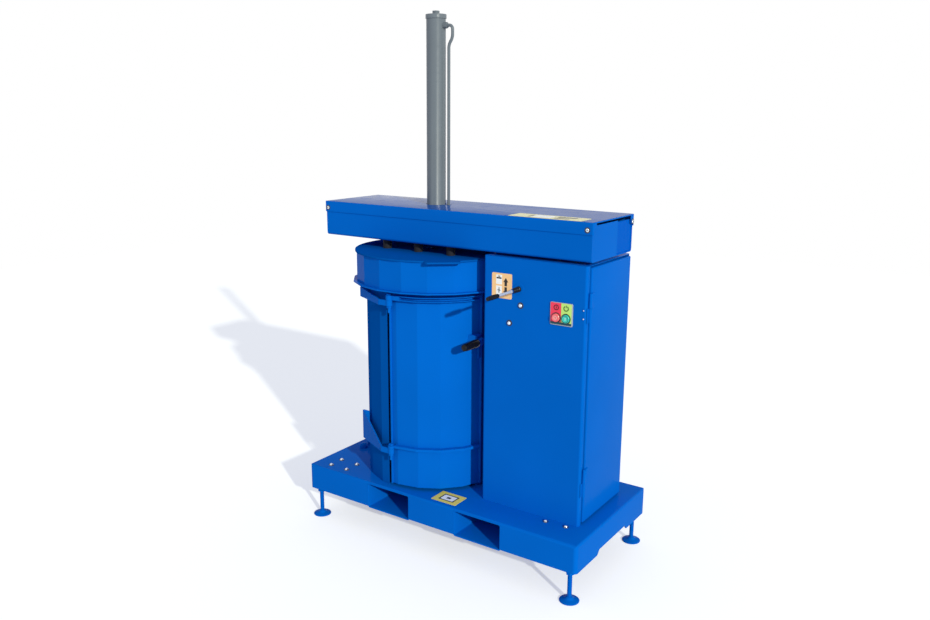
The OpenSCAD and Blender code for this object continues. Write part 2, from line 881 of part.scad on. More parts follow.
// Column with its foot and head plates
module column() {
    in_place() color(BLUE) difference() {
        union() {
            translate([0, 0, base_top]) linear_extrude(cab_h) column_outline(0);
            translate([col_cx - col_plate_w / 2, drum_y - col_plate_d / 2, 0]) {
                translate([0, 0, base_top]) cube([col_plate_w, col_plate_d, col_foot_t]);
                translate([0, 0, cab_top]) cube([col_plate_w, col_plate_d, beam_gap]);
            }
        }
        translate([0, 0, base_top + col_foot_t]) linear_extrude(cab_h - col_foot_t) column_outline(-col_t);
        translate([0, 0, base_top - 1])
            column_bolt_spots() cylinder(d = frame_bolt_d + 2 * run_gap, h = col_foot_t + 2);
        translate([0, 0, cab_top + beam_gap / 3])
            column_bolt_spots() cylinder(d = frame_bolt_d + 2 * run_gap, h = beam_gap);
    }
}

module frame_bolts() {
    in_place() color(STEEL) {
        translate([0, 0, base_top + col_foot_t]) column_bolt_spots()
            hex_bolt(frame_bolt_d, col_foot_t + base_t);
        translate([0, 0, seat_z]) column_bolt_spots() hex_bolt(frame_bolt_d, beam_t + beam_gap / 2);
    }
}

// Beam
module tray_section() {
    depth = tray_y1 - tray_y0;
    mid = (tray_y0 + tray_y1) / 2;
    height = tray_top - beam_z;
    translate([mid, height]) mirror([0, 1]) difference() {
        hooded_rect(depth, height, beam_fold_r);
        translate([0, -1]) hooded_rect(depth - 2 * beam_t, height - beam_t + 1, beam_fold_r - beam_t);
    }
}

module front_flap(x) {
    height = tray_top - beam_z;
    translate([x, 0, beam_z]) rotate([90, 0, 90]) linear_extrude(beam_t) intersection() {
        translate([(tray_y0 + tray_y1) / 2, height]) mirror([0, 1])
            hooded_rect(tray_y1 - tray_y0, height, beam_fold_r);
        translate([tray_y0, 0]) square([flap_w, height - flap_drop]);
    }
}

module rear_flap(x) {
    depth = tray_y1 - tray_y0;
    height = tray_top - beam_z;
    wall = beam_t + run_gap;
    translate([x, 0, beam_z]) rotate([90, 0, 90]) linear_extrude(beam_t) intersection() {
        translate([(tray_y0 + tray_y1) / 2, height]) mirror([0, 1])
            hooded_rect(depth - 2 * wall, height - wall, beam_fold_r - wall);
        translate([tray_y0 + flap_w + run_gap, 0]) square([depth, height - rear_flap_drop]);
    }
}

// The room that a front flap takes out of the tray's front corner
module flap_seat(x) {
    translate([x, tray_y0 - 1, beam_z - 1])
        cube([beam_t + run_gap, flap_w + 1 + run_gap, tray_top - beam_z - flap_drop + 1 + run_gap]);
}

module beam_tray() {
    in_place() color(BLUE) difference() {
        union() {
            difference() {
                translate([tray_x0, 0, beam_z]) rotate([90, 0, 90])
                    linear_extrude(tray_x1 - tray_x0) tray_section();
                flap_seat(tray_x0);
                flap_seat(tray_x1 - beam_t - run_gap);
            }
            front_flap(tray_x0);
            front_flap(tray_x1 - beam_t);
            rear_flap(tray_x0 + rear_flap_step);
            rear_flap(tray_x1 - beam_t - rear_flap_step);
        }
        translate([drum_x, drum_y, beam_z - 1]) cylinder(d = rod_d + 8, h = 2 * beam_t);
        for (p = spacer_spots) {
            translate([drum_x + p[0], drum_y + p[1], beam_z - 1])
                cylinder(d = collar_bolt_d + 2 * bolt_hole_gap, h = 2 * beam_t);
        }
        translate([0, 0, beam_z - 1]) column_bolt_spots()
            cylinder(d = frame_bolt_d + 2 * bolt_hole_gap, h = 2 * beam_t);
        line_holes(beam_z - 1, 2 * beam_t);
        cover_screw_spots() cylinder(r = screw_r + hole_gap, h = 60, center = true);
    }
}

// Each child points out of the beam along its own +Z
module cover_screw_spots() {
    for (x = [cover_screw_in - beam_left, beam_right - cover_screw_in - 5]) {
        translate([x, -beam_front, cover_screw_z]) rotate([90, 0, 0]) children();
        translate([x, beam_d - beam_front, cover_screw_z]) rotate([-90, 0, 0]) children();
    }
    for (s = [-1, 1]) {
        translate([s < 0 ? -beam_left : beam_right, beam_d - beam_front - cover_lip / 2, cover_screw_z])
            rotate([0, 90 * s, 0]) children();
    }
}

module beam_cover() {
    length = beam_left + beam_right;
    mid_x = (beam_right - beam_left) / 2;
    mid_y = beam_d / 2 - beam_front;
    in_place() color(BLUE) difference() {
        translate([mid_x, mid_y, beam_top - cover_flange])
            pan(length, beam_d, cover_flange, cover_t, cover_t + cover_in_r, cover_t + cover_in_r);
        translate([mid_x, mid_y, beam_top - cover_flange])
            cube([2 * length, beam_d - 2 * cover_lip, 2 * (cover_flange - cover_t - 1)], center = true);
        translate([mid_x, mid_y, beam_top - cover_flange - 1]) for (s = [-1, 1]) {
            translate([s * length / 2, 0, 0])
                cube([2 * cover_t + 0.1, beam_d - 2 * cover_t, 2 * (cover_flange / 4)], center = true);
        }
        translate([drum_x, drum_y, beam_top - 2 * cover_t]) cylinder(d = cyl_d + 6, h = 3 * cover_t);
        translate([drum_x + pipe_x, drum_y, beam_top - 2 * cover_t])
            cylinder(d = pipe_d + 12, h = 3 * cover_t);
        cover_screw_spots() cylinder(r = screw_r + hole_gap, h = 4 * cover_t, center = true);
    }
}

module cover_screws() {
    in_place() color(STEEL) cover_screw_spots()
        dome_bolt(2 * screw_r, cover_t + 9, cover_screw_d, cover_screw_head);
}

// Collar
module collar_holes() {
    cylinder(d = rod_d + 8, h = 4 * collar_top_t, center = true);
    for (p = spacer_spots) {
        translate(p) cylinder(d = collar_bolt_d + 2 * bolt_hole_gap, h = 4 * collar_top_t, center = true);
    }
}

module collar_top() {
    rim = collar_r + collar_lip;
    corner = 8;
    at_drum(collar_z - collar_top_t) color(BLUE) difference() {
        linear_extrude(collar_top_t) union() {
            circle(rim, $fn = 60);
            rotate(tab_a) polygon([[rim / 2, -tab_w / 2], [rim + tab_len - corner, -tab_w / 2],
                [rim + tab_len, -tab_w / 2 + corner], [rim + tab_len, tab_w / 2 - corner],
                [rim + tab_len - corner, tab_w / 2], [rim / 2, tab_w / 2]]);
        }
        collar_holes();
    }
}

module collar_skirt() {
    at_drum(skirt_z) color(BLUE) linear_extrude(collar_h) difference() {
        polygon(ngon(collar_r, collar_phase));
        polygon(ngon(collar_r - collar_t, collar_phase));
    }
}

module collar_flange() {
    at_drum(collar_low_z) color(BLUE) linear_extrude(collar_flange_t) difference() {
        polygon(ngon(collar_flange_r, collar_phase));
        circle(collar_bore_r, $fn = 60);
    }
}

module collar_spacers() {
    at_drum(collar_z) color(STEEL) for (p = spacer_spots) {
        translate(p) difference() {
            cylinder(d = spacer_d, h = collar_gap);
            translate([0, 0, -1]) cylinder(d = collar_bolt_d + 2 * bolt_hole_gap, h = collar_gap + 2);
        }
    }
}

module collar_bolts() {
    grip = beam_t + collar_gap + collar_top_t;
    nut_h = 9;
    color(STEEL) for (p = spacer_spots) {
        at_drum(beam_z + beam_t) translate(p) hex_bolt(collar_bolt_d, grip + nut_h + 2);
        at_drum(collar_z - collar_top_t - nut_h) translate(p) hex_nut(collar_bolt_d, nut_h);
    }
}

// Press cylinder
module cylinder_bolt_spots() {
    for (a = [45:90:315]) {
        rotate(a) translate([cyl_bolt_pcd / 2, 0]) children();
    }
}

module cylinder_seat() {
    at_drum(seat_z) color(GREY) difference() {
        linear_extrude(seat_t) rounded_rect(seat_w, seat_w - 10, 8);
        translate([0, 0, -1]) cylinder(d = rod_d + 8, h = seat_t + 2);
        translate([0, 0, 3]) cylinder_bolt_spots() cylinder(d = 10 + 2 * run_gap, h = seat_t);
    }
}

module cylinder_tube() {
    at_drum(flange_z) color(GREY) difference() {
        union() {
            cylinder(d = cyl_d, h = cyl_len);
            cylinder(d = cyl_flange_d, h = cyl_flange_t);
        }
        translate([0, 0, -1]) cylinder(d = cyl_bore, h = cyl_len + 2);
        translate([0, 0, -1]) cylinder_bolt_spots() cylinder(d = 10 + 2 * hole_gap, h = cyl_flange_t + 2);
        translate([0, 0, port_z - flange_z]) rotate([0, 90, 0]) cylinder(d = port_d, h = cyl_d);
        translate([0, 0, low_port_z - flange_z]) rotate([-90, 0, 0]) cylinder(d = port_d, h = cyl_d);
    }
}

module cylinder_cap() {
    at_drum(cyl_top) color(GREY) {
        difference() {
            cylinder(d = cap_d, h = cap_h);
            translate([0, 0, cap_h - 1]) difference() {
                cylinder(d = cap_d + 2, h = 2);
                translate([0, 0, -1]) cylinder(d1 = cap_d + 2, d2 = cap_d - 4, h = 4);
            }
        }
        translate([0, 0, cap_h - 0.1]) hex(24, 12.1);
    }
}

module rod_gland() {
    at_drum(flange_z) color(STEEL) difference() {
        cylinder(d = cyl_bore - 0.2, h = gland_h);
        translate([0, 0, -1]) cylinder(d = rod_d + 2 * run_gap, h = gland_h + 2);
    }
}

module cylinder_bolts() {
    at_drum(flange_z + cyl_flange_t) color(STEEL) cylinder_bolt_spots()
        hex_bolt(10, cyl_flange_t + seat_t - 5);
}

// Quarter or part bend of a round bar, starting at the origin along +Y and curving to +X
module bend(r, a, d) {
    translate([r, 0, 0]) rotate([0, 0, 180 - a]) rotate_extrude(angle = a) translate([r, 0]) circle(d = d);
}

// Oil pipe that rises from the beam and bows over into the cylinder's upper port
module riser_pipe() {
    bow = pipe_bend_x - pipe_x;
    bow_r = 40;
    bow_a = acos(1 - bow / 2 / bow_r);
    bow_h = 2 * bow_r * sin(bow_a);
    top_r = 14;
    bow_z = port_z - top_r - 16 - bow_h;
    knee_z = low_pipe_z + low_pipe_r;
    tip_x = cyl_d / 2 + pipe_seat;
    at_drum() color(GREY) {
        translate([pipe_x, 0, knee_z]) cylinder(d = pipe_d, h = bow_z - knee_z);
        translate([pipe_x, 0, knee_z]) rotate([-90, 0, 0]) bend(low_pipe_r, 90, pipe_d);
        translate([pipe_x + low_pipe_r, 0, low_pipe_z]) rotate([0, 90, 0])
            cylinder(d = pipe_d, h = coupling_x - drum_x - pipe_x - low_pipe_r + pipe_seat);
        translate([pipe_x, 0, bow_z]) rotate([90, 0, 0]) {
            bend(bow_r, bow_a, pipe_d);
            translate([bow, bow_h, 0]) rotate([0, 0, 180]) bend(bow_r, bow_a, pipe_d);
        }
        translate([pipe_bend_x, 0, bow_z + bow_h]) cylinder(d = pipe_d, h = port_z - top_r - bow_z - bow_h);
        translate([pipe_bend_x, 0, port_z - top_r]) rotate([90, 0, 0]) mirror([1, 0, 0])
            bend(top_r, 90, pipe_d);
        translate([tip_x, 0, port_z]) rotate([0, 90, 0])
            cylinder(d = pipe_d, h = pipe_bend_x - top_r - tip_x);
    }
}

// Union nut on the cylinder's side, built along +X, with a seat for a pipe
module port_nut(d) {
    difference() {
        rotate([0, 90, 0]) union() {
            hex(nut_af, cyl_d / 2 + nut_len);
            cylinder(d = nut_af + 2, h = cyl_d / 2 + 3);
        }
        cylinder(d = cyl_d, h = 4 * nut_af, center = true);
        translate([cyl_d / 2 + pipe_seat, 0, 0]) rotate([0, 90, 0]) cylinder(d = d, h = nut_len);
    }
}

// Nuts at the cylinder's two ports and the coupling at the riser pipe's lower end
module pipe_fitting() {
    at_drum(port_z) color(GREY) port_nut(pipe_d);
    at_drum(low_port_z) color(GREY) rotate(90) port_nut(line_d);
    in_place() color(GREY) translate([coupling_x, drum_y, low_pipe_z]) rotate([0, 90, 0]) difference() {
        hex(22, coupling_len);
        translate([0, 0, -1]) cylinder(d = pipe_d, h = pipe_seat + 1);
        translate([0, 0, coupling_len - pipe_seat]) cylinder(d = line_d, h = coupling_len);
    }
}

module piston_rod() {
    at_drum(hub_top_z - 30) color(STEEL) cylinder(d = rod_d, h = piston_z - hub_top_z + 30);
}

module piston() {
    at_drum(piston_z) color(STEEL) rotate_extrude() difference() {
        square([cyl_bore / 2 - run_gap, piston_h]);
        for (z = [8, piston_h - 12]) {
            translate([cyl_bore / 2 - 3, z]) square([4, 4]);
        }
    }
}

// Round press plate with its hub and radial ribs
module press_plate() {
    at_drum(plate_z) color(BLUE) difference() {
        union() {
            cylinder(r = plate_r, h = plate_t, $fn = 60);
            cylinder(d = plate_hub_d, h = plate_t + rib_h);
            for (a = [0:45:315]) {
                rotate([90, 0, a]) linear_extrude(rib_t, center = true)
                    polygon([[plate_hub_d / 2 - 4, plate_t - 1], [plate_r - 16, plate_t - 1],
                        [plate_r - 16, plate_t + 8], [plate_hub_d / 2 + 30, plate_t + rib_h - 6],
                        [plate_hub_d / 2 - 4, plate_t + rib_h - 6]]);
            }
        }
        translate([0, 0, plate_t + rib_h - 30]) cylinder(d = rod_d, h = 40);
    }
}

// Drum
module rear_shell() {
    a0 = shell_latch_a;
    a1 = 360 + shell_hinge_a;
    at_drum(base_top) color(BLUE) linear_extrude(collar_low_z - base_top) {
        side_ring(drum_r, shell_in, a0, a1, drum_phase);
        side_ring(shell_in, shell_in - shell_t, a0, a0 + jamb_a, drum_phase);
        side_ring(shell_in - jamb_gap, shell_in - shell_t, a0 - jamb_a - 2, a0 + jamb_a / 2, drum_phase);
    }
}

module door_edge(a) {
    intersection() {
        difference() {
            polygon(ngon(drum_r + door_lip, drum_phase));
            polygon(ngon(drum_r - 0.1, drum_phase));
        }
        rotate(a) translate([drum_r, 0]) square([8 * door_lip, shell_t], center = true);
    }
}

module drum_door() {
    at_drum(door_z) color(BLUE) linear_extrude(door_top - door_z) {
        side_ring(drum_r, shell_in, door_hinge_a, door_latch_a, drum_phase);
        door_edge(door_hinge_a + lip_a);
        door_edge(door_latch_a - lip_a);
    }
}

module hinge_eye(h) {
    difference() {
        cylinder(d = hinge_eye_d, h = h);
        translate([0, 0, -1]) cylinder(d = hinge_bolt_d + 2 * run_gap, h = h + 2);
    }
}

module hoop_ring(r_in, a0, a1) {
    side_ring(hoop_r, r_in, a0, a1, drum_phase);
}

// Solid between a hinge eye and the hoop, clear of the eye's bore
module hoop_root(h) {
    difference() {
        linear_extrude(h) hoop_ring(drum_r, hoop_a0, hoop_a0 + 6);
        translate([hinge_x - drum_x, hinge_y - drum_y, -1])
            cylinder(d = hinge_eye_d - 1, h = h + 2);
    }
}

// Channel-shaped hoop round the door's upper edge, with its hinge eye
module hoop_upper() {
    at_drum(hoop_top_z) color(BLUE) {
        difference() {
            linear_extrude(hoop_top_h) hoop_ring(drum_r, hoop_a0, hoop_a1);
            translate([0, 0, hoop_t]) linear_extrude(hoop_top_h - 2 * hoop_t) difference() {
                polygon(ngon(hoop_r + 20, drum_phase));
                polygon(ngon(drum_r + hoop_t, drum_phase));
            }
            translate([hinge_x - drum_x, hinge_y - drum_y, -1])
                cylinder(d = hinge_eye_d - 1, h = hoop_top_h + 2);
            drum_door_clear(hoop_top_h);
        }
        translate([hinge_x - drum_x, hinge_y - drum_y, 0]) hinge_eye(hoop_top_h);
        difference() {
            hoop_root(hoop_top_h);
            drum_door_clear(hoop_top_h);
        }
    }
}

// Room for the lips along the door's edges
module drum_door_clear(h) {
    translate([0, 0, -1]) linear_extrude(h + 2) {
        door_edge(door_hinge_a + lip_a);
        door_edge(door_latch_a - lip_a);
    }
}

// Flat hoop round the door's lower part, with its hinge eye
module hoop_lower() {
    at_drum(hoop_low_abs) color(BLUE) {
        difference() {
            linear_extrude(hoop_low_h) hoop_ring(drum_r, hoop_a0, hoop_a1);
            translate([hinge_x - drum_x, hinge_y - drum_y, -1])
                cylinder(d = hinge_eye_d - 1, h = hoop_low_h + 2);
            drum_door_clear(hoop_low_h);
        }
        translate([hinge_x - drum_x, hinge_y - drum_y, 0]) hinge_eye(hoop_low_h);
    }
}

// Arm that stands off the shell and carries one hinge bolt in its eye
module hinge_arm(z, eye_h, high) {
    slope_run = arm_near[0] - arm_bend[0];
    in_place() color(BLUE) translate([0, 0, z]) difference() {
        linear_extrude(high) difference() {
            union() {
                translate([hinge_x, hinge_y]) circle(d = hinge_eye_d);
                strip([[hinge_x, hinge_y - 6], arm_near, arm_bend, arm_end], arm_t);
            }
            translate([hinge_x, hinge_y]) circle(d = hinge_bolt_d + 2 * run_gap);
            translate([drum_x, drum_y]) polygon(ngon(drum_r, drum_phase));
        }
        translate([arm_near[0], 0, eye_h]) rotate([90, 0, 0]) linear_extrude(2 * base_d, center = true)
            polygon([[80, 0], [0, 0], [-slope_run, high - eye_h],
                [-slope_run, 2 * high], [80, 2 * high]]);
    }
}

module hinge_arm_upper() {
    hinge_arm(arm_top_z, arm_eye_h, arm_top_h);
}

module hinge_arm_lower() {
    hinge_arm(arm_low_z, arm_eye_h, arm_low_h);
}

// Bolt with its head above the door's eye, and its nut below the arm's eye
module hinge_bolt(eye_top, arm_z) {
    len = eye_top - arm_z + hinge_nut_h + hinge_tail;
    in_place() color(STEEL) translate([hinge_x, hinge_y, 0]) {
        translate([0, 0, eye_top + eye_gap]) hex_bolt(hinge_bolt_d, len + eye_gap);
        translate([0, 0, arm_z - hinge_nut_h]) hex_nut(hinge_bolt_d, hinge_nut_h);
    }
}

module hinge_bolts() {
    hinge_bolt(hoop_top_z + hoop_top_h, arm_top_z);
    hinge_bolt(hoop_low_abs + hoop_low_h, arm_low_z);
}

// Latch
module latch_bracket() {
    in_place() color(BLUE) difference() {
        translate([cab_left - 110, latch_y - bracket_w / 2, latch_h - bracket_h / 2])
            cube([bracket_x - cab_left + 110, bracket_w, bracket_h]);
        translate([drum_x, drum_y, latch_h - bracket_h]) linear_extrude(2 * bracket_h)
            polygon(ngon(drum_r, drum_phase));
        translate([cab_left - 120, latch_y, latch_h]) rotate([0, 90, 0])
            cylinder(d = latch_d + 2 * run_gap, h = 110);
    }
}

// Spindle, hub, tongue and arm of the latch in one welded piece, shown released
module latch_lever() {
    spindle_x = bracket_x - 20;
    in_place() color(BLUE) translate([0, latch_y, latch_h]) {
        translate([spindle_x, 0, 0]) rotate([0, 90, 0]) cylinder(d = latch_d, h = hub_x - spindle_x + 1);
        translate([hub_x, 0, 0]) rotate([0, 90, 0]) cylinder(d = hub_d, h = hub_h);
        translate([tongue_x, -tongue_w / 2, -tongue_len]) cube([tongue_t, tongue_w, tongue_len]);
        translate([tongue_x, 0, 0]) rotate([0, 90, 0]) cylinder(d = tongue_w, h = tongue_t);
        translate([hub_x + 1, -grip_len - 28 + 6, -8]) cube([hub_h - 2, grip_len + 28 - 6, 16]);
    }
}

module latch_grip() {
    arm_x = hub_x + hub_h / 2;
    in_place() translate([arm_x, grip_y, latch_h]) {
        color(BLACK) difference() {
            rotate([90, 0, 0]) rotate_extrude() polygon([[0, 0], [grip_d / 2 - 4, 0], [grip_d / 2 - 1, 3],
                [grip_d / 2, 14], [grip_d / 2 - 2, grip_len - 12], [grip_d / 2 - 4, grip_len - 3],
                [grip_d / 2 - 8, grip_len], [0, grip_len]]);
            translate([-hub_h / 2 + 1, -grip_len + 6, -8]) cube([hub_h - 2, grip_len, 16]);
        }
    }
}

// Keeper on the rear shell, open below, into which the tongue turns
module latch_keeper() {
    tip_y = latch_y + tongue_len;
    roof_z = latch_h + tongue_w / 2 + keeper_gap;
    leg_x = tongue_x + tongue_t + keeper_gap;
    in_place() color(BLUE) difference() {
        union() {
            translate([cab_left - 110, tip_y - keeper_w, roof_z])
                cube([leg_x + keeper_t - cab_left + 110, keeper_w, keeper_t]);
            translate([leg_x, tip_y - keeper_w, roof_z - tongue_w - keeper_gap])
                cube([keeper_t, keeper_w, tongue_w + keeper_gap + keeper_t]);
        }
        translate([drum_x, drum_y, roof_z - bracket_h]) linear_extrude(2 * bracket_h)
            polygon(ngon(drum_r, drum_phase));
    }
}

// Controls
module control_lever() {
    rod_len = lever_reach - lever_grip_len / 2;
    pin_r = lever_pin_d / 2;
    pin_end = 0.46 * lever_ball_d;
    ball = [for (a = [-50:12.5:50]) on_arc(lever_ball_d / 2, a)];
    ball_side = lever_ball_d / 2 * sin(50);
    in_place() translate([lever_abs_x, cab_y0, lever_abs_z]) {
        color(BLACK) rotate([0, 90, 0]) rotate_extrude() polygon(concat([[0, -pin_end], [pin_r, -pin_end],
            [pin_r, -ball_side]], ball, [[pin_r, ball_side], [pin_r, pin_end], [0, pin_end]]));
        color(BLACK) rotate([90, 0, 0]) cylinder(d1 = lever_ball_d - 4, d2 = 0.5 * lever_ball_d, h = 56);
        color(STEEL) rotate([90, 0, 0]) cylinder(d = lever_rod_d, h = rod_len);
    }
}

module lever_grip() {
    r = 0.75 * lever_rod_d;
    in_place() color(BLACK) translate([lever_abs_x, cab_y0 - lever_reach, lever_abs_z]) difference() {
        rotate([-90, 0, 0]) rotate_extrude() polygon([[0, 0], [r - 2, 0], [r, 3], [r + 1, 12],
            [r, lever_grip_len - 4], [r - 1.5, lever_grip_len], [0, lever_grip_len]]);
        translate([0, lever_grip_len / 2, 0]) rotate([-90, 0, 0])
            cylinder(d = lever_rod_d, h = lever_grip_len);
    }
}

// Hand-operated valve behind the lever, with its spool cap below and the clevis in front
module control_valve() {
    foot_y = cab_y0 + cab_t;
    foot_z = valve_low - 21;
    in_place() color(GREY) translate([lever_abs_x, 0, 0]) {
        translate([-valve_w / 2, valve_y, valve_low]) cube([valve_w, valve_d, valve_h]);
        translate([0, valve_y + valve_d / 2, valve_low - 26]) cylinder(d = 36, h = 27);
        translate([0, valve_y + valve_d / 2, valve_low + valve_h - 1]) cylinder(d = 30, h = 19);
        for (s = [-1, 1]) {
            translate([s * valve_w / 2 - 3, foot_y, foot_z]) cube([6, valve_y - foot_y + 10, 20]);
        }
        translate([-valve_w / 2, valve_y + 1, foot_z]) cube([valve_w, 9, 24]);
    }
}

// Switch housing with its rim on the front panel
module switch_housing() {
    in_place() color(GREY) translate([switch_abs_x, cab_y0, switch_abs_z]) rotate([90, 0, 0]) difference() {
        union() {
            linear_extrude(switch_rim) rounded_rect(switch_w, switch_h, 5);
            translate([0, 0, -switch_d]) linear_extrude(switch_d + 1)
                rounded_rect(switch_w - 12, switch_h - 12, 4);
        }
        for (s = [-1, 1]) {
            translate([s * button_spacing / 2, button_z - switch_abs_z, -24])
                cylinder(d = button_d + 2 * hole_gap, h = 40);
        }
    }
}

module push_button(side, dish) {
    in_place() translate([switch_abs_x + side * button_spacing / 2, cab_y0 - switch_rim, button_z])
        rotate([90, 0, 0]) difference() {
            rotate_extrude() polygon([[0, -14], [button_d / 2, -14], [button_d / 2, button_proud - 1.5],
                [button_d / 2 - 1.5, button_proud], [0, button_proud]]);
            translate([0, 0, button_proud + 2 * button_d - dish]) sphere(r = 2 * button_d, $fn = 24);
        }
}

module stop_button() {
    color([0.9, 0.25, 0.25]) push_button(-1, 0.6);
}

module start_button() {
    color([0.05, 0.6, 0.5]) push_button(1, 1.6);
}

// Power pack
module tank_outline(inset) {
    translate([tank_w / 2, tank_d / 2]) rounded_rect(tank_w - 2 * inset, tank_d - 2 * inset, 12 - inset);
}

module oil_tank() {
    in_place() color(GREY) translate([tank_x0, tank_y0, base_top]) {
        translate([0, 0, tank_foot_h]) difference() {
            linear_extrude(tank_h) tank_outline(0);
            translate([0, 0, tank_t]) linear_extrude(tank_h) tank_outline(tank_t);
        }
        for (y = [tank_foot_in, tank_d - tank_foot_in - tank_foot_w]) {
            translate([0, y, 0]) difference() {
                cube([tank_w, tank_foot_w, tank_foot_h + 0.1]);
                translate([-1, tank_t, tank_t]) cube([tank_w + 2, tank_foot_w, tank_foot_h - 2 * tank_t]);
            }
        }
    }
}

module tank_lid() {
    in_place() color(GREY) translate([tank_x0, tank_y0, lid_z]) {
        difference() {
            union() {
                linear_extrude(lid_t) tank_outline(-2);
                translate([tank_w / 2, tank_d / 2, lid_t - 0.1]) cylinder(d = bell_d, h = bell_h + 0.1);
            }
            translate([tank_w / 2, tank_d / 2, -1]) cylinder(d = bell_bore, h = lid_t + bell_h + 2);
            for (x = tank_line_xs) {
                translate([x - tank_x0, tank_line_y - tank_y0, -1]) cylinder(d = line_d, h = lid_t + 2);
            }
        }
        translate([filler_in, tank_d - filler_in, lid_t - 0.1]) {
            cylinder(d = filler_neck_d, h = 12);
            translate([0, 0, 11.9]) cylinder(d = filler_cap_d, h = 18);
        }
    }
}

// Motor with its cooling fins, terminal box and fan cover
module pump_motor() {
    core_r = motor_d / 2 - fin_h;
    in_place() color(GREY) translate([motor_x, motor_y, motor_low_z + bell_h]) {
        cylinder(d = bell_d, h = 12);
        translate([0, 0, 11]) linear_extrude(motor_h) union() {
            circle(core_r);
            for (i = [0:fins - 1]) {
                rotate(i * 360 / fins) translate([core_r - 2, -fin_t / 2]) square([fin_h + 2, fin_t]);
            }
        }
        translate([0, 0, 10 + motor_h]) rotate_extrude() polygon([[0, 0], [motor_d / 2 + 2, 0],
            [motor_d / 2 + 2, fan_h - 10], [motor_d / 2 - 8, fan_h], [0, fan_h]]);
        translate([-45, -motor_d / 2 - 34, 40]) cube([90, 44, 80]);
        translate([0, 0, -bell_h - lid_t - 20]) cylinder(d = 24, h = bell_h + lid_t + 21);
    }
}

// Gear pump under the lid with its suction strainer
module gear_pump() {
    in_place() color(STEEL) translate([motor_x, motor_y, lid_z]) difference() {
        union() {
            translate([0, 0, -70]) linear_extrude(70) rounded_rect(80, 76, 10);
            translate([0, 0, -120]) cylinder(d = 60, h = 51);
        }
        translate([0, 0, -22]) cylinder(d = 26, h = 30);
    }
}

// Tube through a row of points, with a ball elbow where it turns
module round_route(points, d) {
    for (i = [0:len(points) - 2]) {
        step = points[i + 1] - points[i];
        translate(points[i]) rotate([0, acos(step[2] / norm(step)), atan2(step[1], step[0])])
            cylinder(d = d, h = norm(step));
    }
    for (i = [1:len(points) - 2]) {
        translate(points[i]) sphere(d = d + elbow_more, $fn = 14);
    }
}

// Two lines between the tank and the valve, and two from the valve through the beam
module oil_lines() {
    top_z = lever_abs_z + 25;
    run_y = valve_back + 30;
    low_port_y = drum_y + cyl_d / 2 + pipe_seat;
    in_place() color(BLACK) {
        round_route([[valve_port_x, valve_back, top_z], [valve_port_x, run_y, top_z],
            [line_x, drum_y, top_z + 40], [line_x, drum_y, low_pipe_z],
            [coupling_x + coupling_len - pipe_seat, drum_y, low_pipe_z]], line_d);
        round_route([[valve_port_x, valve_back, top_z - 30], [valve_port_x, run_y + 10, top_z - 30],
            [line_x, line_rear_y, top_z + 30], [line_x, line_rear_y, low_port_z],
            [drum_x, line_rear_y, low_port_z], [drum_x, low_port_y, low_port_z]], line_d);
        round_route([[valve_port_x, valve_back, top_z - 56], [valve_port_x, run_y, top_z - 56],
            [tank_line_xs[0], tank_line_y, valve_low - 60], [tank_line_xs[0], tank_line_y, lid_z]], line_d);
        round_route([[lever_abs_x + valve_w / 2, valve_y + valve_d / 2, valve_low + 24],
            [tank_line_xs[1], valve_y + valve_d / 2, valve_low + 24],
            [tank_line_xs[1], tank_line_y, valve_low - 20], [tank_line_xs[1], tank_line_y, lid_z]], line_d);
    }
}

// Boss and ribbed buffer on the base, behind the drum's left side
module spring_anchor() {
    ribs = [for (i = [0:4]) each [[10, 8 * i], [10, 8 * i + 5], [8, 8 * i + 6], [8, 8 * i + 7.5]]];
    in_place() translate([anchor_x, anchor_y, base_top]) {
        color(BLUE) rotate_extrude() polygon([[0, 0], [16, 0], [16, 9], [13, 15], [8, 18], [0, 18]]);
        color(BLACK) translate([0, 40, 0]) rotate_extrude()
            polygon(concat([[0, 0]], ribs, [[8, 40], [0, 40]]));
    }
}

// Cable gland in the cabinet's rear
module cable_gland() {
    in_place() color(BLACK) translate([cable_x, cab_y1, cable_z]) rotate([-90, 0, 0]) difference() {
        union() {
            hex(26, 8);
            cylinder(d1 = 24, d2 = 17, h = 22);
            translate([0, 0, -12]) cylinder(d = cable_thread_d, h = 13);
        }
        translate([0, 0, -13]) cylinder(d = 10, h = 40);
    }
}

base_tray();
fork_pocket_left();
fork_pocket_right();
foot_plates();
foot_nuts();
foot_front_left();
foot_front_right();
foot_rear_left();
foot_rear_right();
base_bolts();
cabinet_shell();
cabinet_top();
cabinet_door();
hinge_leaves();
hinge_pins();
panel_screws();
column();
frame_bolts();
beam_tray();
beam_cover();
cover_screws();
collar_top();
collar_skirt();
collar_flange();
collar_spacers();
collar_bolts();
cylinder_seat();
cylinder_tube();
cylinder_cap();
rod_gland();
cylinder_bolts();
riser_pipe();
pipe_fitting();
rear_shell();
drum_door();
hoop_upper();
hoop_lower();
hinge_arm_upper();
hinge_arm_lower();
hinge_bolts();
latch_bracket();
latch_lever();
latch_grip();
latch_keeper();
piston_rod();
piston();
press_plate();
control_lever();
lever_grip();
control_valve();
switch_housing();
stop_button();
start_button();
oil_tank();
tank_lid();
pump_motor();
gear_pump();
oil_lines();
spring_anchor();
cable_gland();
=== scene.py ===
"""Looks of a bag compactor: enamelled sheet metal, plated fasteners, moulded plastic and its signs.

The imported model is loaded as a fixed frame. Its rigid pieces are dressed with softened edges and
procedural finishes, and the small pieces that only the eye needs are modelled around them. All
lengths are in metres.
"""

import json
import logging
import math
from dataclasses import dataclass, field
from enum import Enum
from typing import Callable, Sequence

import bmesh
import bpy
from mathutils import Matrix, Vector


